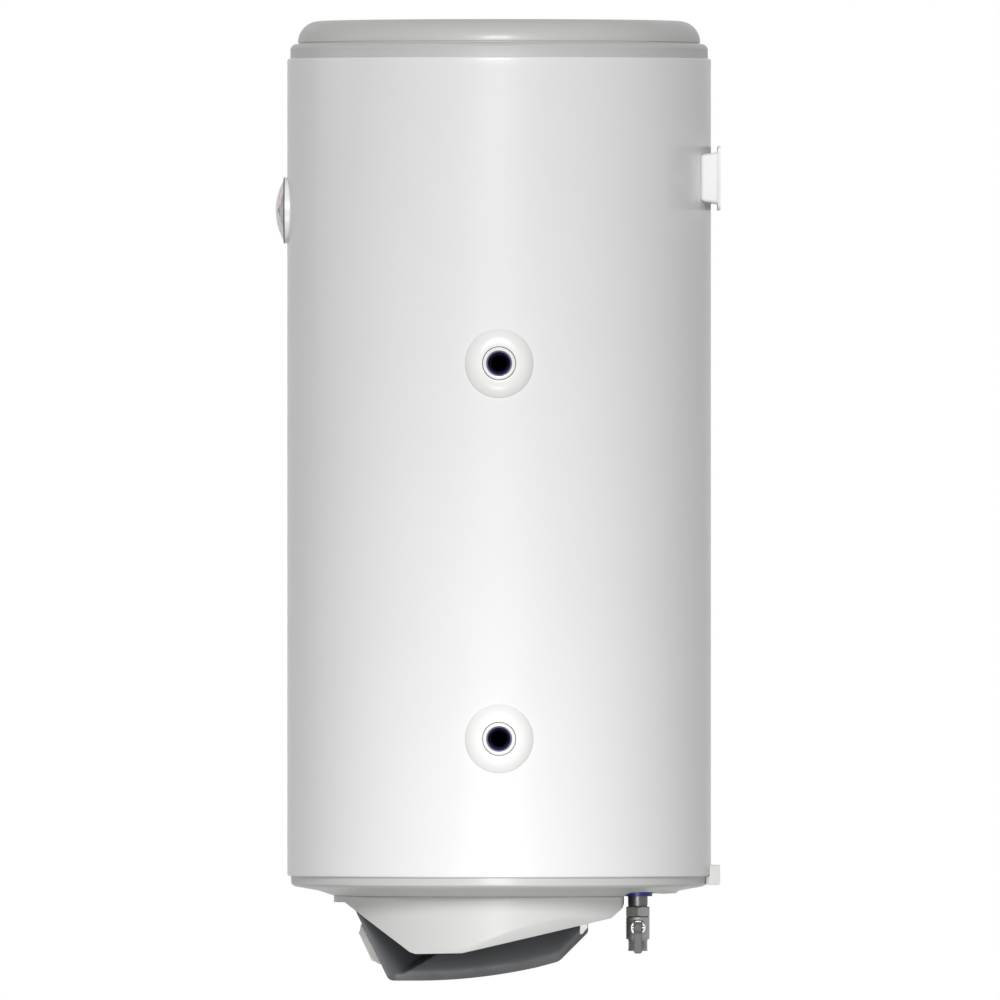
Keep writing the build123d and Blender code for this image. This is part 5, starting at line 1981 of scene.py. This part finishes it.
@dataclass
class Fixings:
    """Hanger, lower spacer and small visible hardware, with softened edges.

    Attributes:
        edge: rounding of the pressed hanger's edges, in metres
        spacer_edge: rounding of the moulded spacer's edges, as a multiple of it
    """

    edge: float = 0.0006
    spacer_edge: float = 1.3

    def build(self) -> list[bpy.types.Object]:
        """Makes every piece.

        Returns:
            the pieces
        """
        bracket = carried_copy("wall_bracket", "wall_hanger")
        bevel(bracket, self.edge)
        spacer = carried_copy("lower_spacer", "lower_wall_spacer")
        bevel(spacer, self.edge * self.spacer_edge)
        return [
            dress(bracket, "heater", [BRACKET_ENAMEL], ["wall_bracket"]),
            dress(spacer, "heater", [CAP_PLASTIC], ["lower_spacer"]),
            self.screws(), self.bush(),
        ]

    @staticmethod
    def screws() -> bpy.types.Object:
        """Four pan-head screws with a round recess in their heads, in the counterbores.

        Returns:
            the screws
        """
        shape = Shape()
        for x in (-SCREW_X, SCREW_X):
            for y in SCREW_Y:
                axes = upright(x * MM, y * MM)
                shape.turned(rounded([(0, -776.9), (0.9, -776.9, 0.1), (1.3, -778.2, 0.1),
                                      (2.9, -778.4, 0.7), (4.0, -777.2, 0.3), (4.0, -776.0, 0.1),
                                      (2.0, -776.0, 0.1), (2.0, -756.6, 0.4), (0, -756.0)]),
                             axes, 32)
        screws = shape.mesh("cover_fixing_screws")
        return dress(screws, "heater", [ZINC], ["cover_screws"])

    @staticmethod
    def bush() -> bpy.types.Object:
        """Rubber bush for the mains cable, its lips rounded.

        Returns:
            the bush
        """
        low, high = node_low("cable_gland"), node_high("cable_gland")
        middle = (low + high) / 2
        axes = Axes((float(middle[0]), 0.0, float(middle[2])), (-1, 0, 0), (0, 0, 1), (0, 1, 0))
        back, front = float(low[1]) / MM, float(high[1]) / MM
        shape = Shape().turned(rounded(
            [(3.6, back), (4.2, back, 0.3), (4.55, back + 0.6, 0.2), (4.55, front - 1.4, 0.1),
             (5.3, front - 1.35, 0.4), (5.2, front, 0.5), (3.9, front, 0.3), (3.6, front - 0.5),
             (3.6, back)]), axes, 56)
        bush = shape.mesh("cable_bush")
        return dress(bush, "heater", [RUBBER], ["cable_gland"])


@dataclass
class Interior:
    """CAD pieces that keep their own mesh: the vessel, flange, coil, heater and controls.

    Attributes:
        by_slot: finish of each material slot
        by_node: finish of single nodes that differ from their slot
    """

    by_slot: dict[str, Finish]
    by_node: dict[str, Finish]

    def dress(self) -> None:
        """Gives every CAD node that nothing replaces a procedural material."""
        slots = {part["node"]: part.get("material_slot", "") for part in self.parts()}
        for name, piece in frame["nodes"].items():
            finish = self.by_node.get(name) or self.by_slot.get(slots.get(name, ""), ZINC)
            piece.data.materials.clear()
            piece.data.materials.append(finish.make())
            LOG.info("%s keeps its mesh, finished as %s", name, finish.name)

    @staticmethod
    def parts() -> list[dict]:
        """Sub-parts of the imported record."""
        return frame["record"]["subparts"]


# ======================================================================= studio
@dataclass(frozen=True)
class Panel:
    """An area light.

    Attributes:
        name: of the light
        place: in metres
        target: that it points at
        size: width and height in metres
        power: in watts
        spread: opening of its beam, in degrees
    """

    name: str
    place: tuple[float, float, float]
    target: tuple[float, float, float]
    size: tuple[float, float]
    power: float
    spread: float = 180.0

    def build(self) -> None:
        """Adds the light."""
        data = bpy.data.lights.new(self.name, "AREA")
        data.shape = "RECTANGLE"
        data.size, data.size_y = self.size
        data.energy = self.power
        data.spread = math.radians(self.spread)
        lamp = bpy.data.objects.new(self.name, data)
        lamp.location = self.place
        way = Vector(self.target) - Vector(self.place)
        lamp.rotation_euler = way.to_track_quat("-Z", "Y").to_euler()
        bpy.context.scene.collection.objects.link(lamp)


@dataclass
class Studio:
    """Camera, lights, floor and white surround.

    Attributes:
        middle: point that the camera faces, (Y, Z) in metres
        lens: focal length in millimetres
        width: of the view at the heater, in metres
        floor_z: height of the floor in metres
        floor_r: its radius in metres
        ambient: brightness of the surround as it lights the object
        mirrored: how far reflections see the surround at its full brightness
        surround: brightness of the surround as it is seen
    """

    middle: tuple[float, float] = (-0.2356, -0.3445)
    lens: float = 1400.0
    width: float = 1.07126
    floor_z: float = -1.75
    floor_r: float = 1.6
    ambient: float = 0.235
    mirrored: float = 0.8
    surround: float = 1.0

    def build(self) -> None:
        """Sets the scene up."""
        self.camera()
        self.world()
        self.floor()
        heart = (0.0, float(TANK[1]), -0.33)
        for panel in (
            Panel("key_panel", (6.0, -0.40, 1.90), heart, (1.6, 1.6), 246.0),
            Panel("low_panel", (1.7, -0.27, -1.05), (0.2, -0.245, -0.95), (0.5, 0.4), 1.97, 80.0),
            Panel("front_fill", (-1.0, -5.0, 1.2), heart, (2.5, 2.5), 10.7),
        ):
            panel.build()
        bpy.context.scene.view_settings.view_transform = "Standard"
        bpy.context.scene.view_settings.look = "None"

    def camera(self) -> None:
        """Long lens looking along -X at the side with the coil sockets."""
        data = bpy.data.cameras.new("side_camera")
        data.lens = self.lens
        data.sensor_width = SENSOR
        data.clip_end = 400.0
        data.dof.use_dof = False
        camera = bpy.data.objects.new("side_camera", data)
        camera.location = (self.width * self.lens / SENSOR, *self.middle)
        camera.rotation_euler = (math.pi / 2, 0.0, math.pi / 2)
        bpy.context.scene.collection.objects.link(camera)
        bpy.context.scene.camera = camera

    def world(self) -> None:
        """White to the eye and in reflections at a glance, dimmer as a light."""
        world = bpy.data.worlds.new("surround")
        world.use_nodes = True
        bpy.context.scene.world = world
        tree = world.node_tree
        seen, light = tree.nodes["Background"], tree.nodes.new("ShaderNodeBackground")
        for node, strength in ((seen, self.surround), (light, self.ambient)):
            node.inputs["Color"].default_value = (1, 1, 1, 1)
            node.inputs["Strength"].default_value = strength
        path = tree.nodes.new("ShaderNodeLightPath")
        mirrored = maths(tree, "MULTIPLY", path.outputs["Is Glossy Ray"], self.mirrored)
        share = maths(tree, "MAXIMUM", path.outputs["Is Camera Ray"], mirrored)
        choose = tree.nodes.new("ShaderNodeMixShader")
        tree.links.new(share, choose.inputs["Fac"])
        tree.links.new(light.outputs["Background"], choose.inputs[1])
        tree.links.new(seen.outputs["Background"], choose.inputs[2])
        tree.links.new(choose.outputs["Shader"], tree.nodes["World Output"].inputs["Surface"])

    def floor(self) -> None:
        """Pale round floor, far below the wall-hung heater."""
        r = np.linspace(0, self.floor_r, 9)
        disc = np.stack([r, np.full(len(r), self.floor_z)], axis=1)[::-1]
        floor = Shape().turned(disc, upright(0.0, -0.25), 96).mesh("studio_floor")
        pale = Finish("pale_floor", (0.86, 0.86, 0.855), 0.6, grain_size=4.0, relief=0.02,
                      drift=0.01)
        floor.data.materials.append(pale.make())


def main() -> None:
    """Builds the studio and every sub-assembly, in order."""
    logging.basicConfig(level=logging.INFO, format="%(name)s: %(message)s")
    Studio().build()
    makers = [Jacket(), Caps(), CoilConnection("upper"), CoilConnection("lower"), Thermometer(),
              ServiceCover(), ControlCover(), Controls(), Plumbing(), Fixings()]
    for maker in makers:
        made = maker.build()
        LOG.info("%s is ready: %s", type(maker).__name__, made)
    Interior(
        by_slot={
            "foam": FOAM, "vessel_enamel": VESSEL, "plated_steel": ZINC, "copper": COPPER,
            "magnesium": MAGNESIUM, "rubber": RUBBER, "ceramic": CERAMIC, "brass": BRASS,
            "black_plastic": BLACK, "terminal_plastic": NYLON, "button_red": BUTTON,
            "wire_insulation": WIRE, "spring_steel": SPRING, "valve_nickel": NICKEL_TURNED,
            "white_plastic": WHITE_PLASTIC, "white_enamel": ENAMEL, "socket_steel": ZINC,
            "grey_plastic": CAP_PLASTIC, "dark_plastic": DARK_PLASTIC,
        },
        by_node={"relief_stem": NICKEL_TURNED, "lever_pin": NICKEL_TURNED},
    ).dress()


if __name__ == "__main__":
    main()
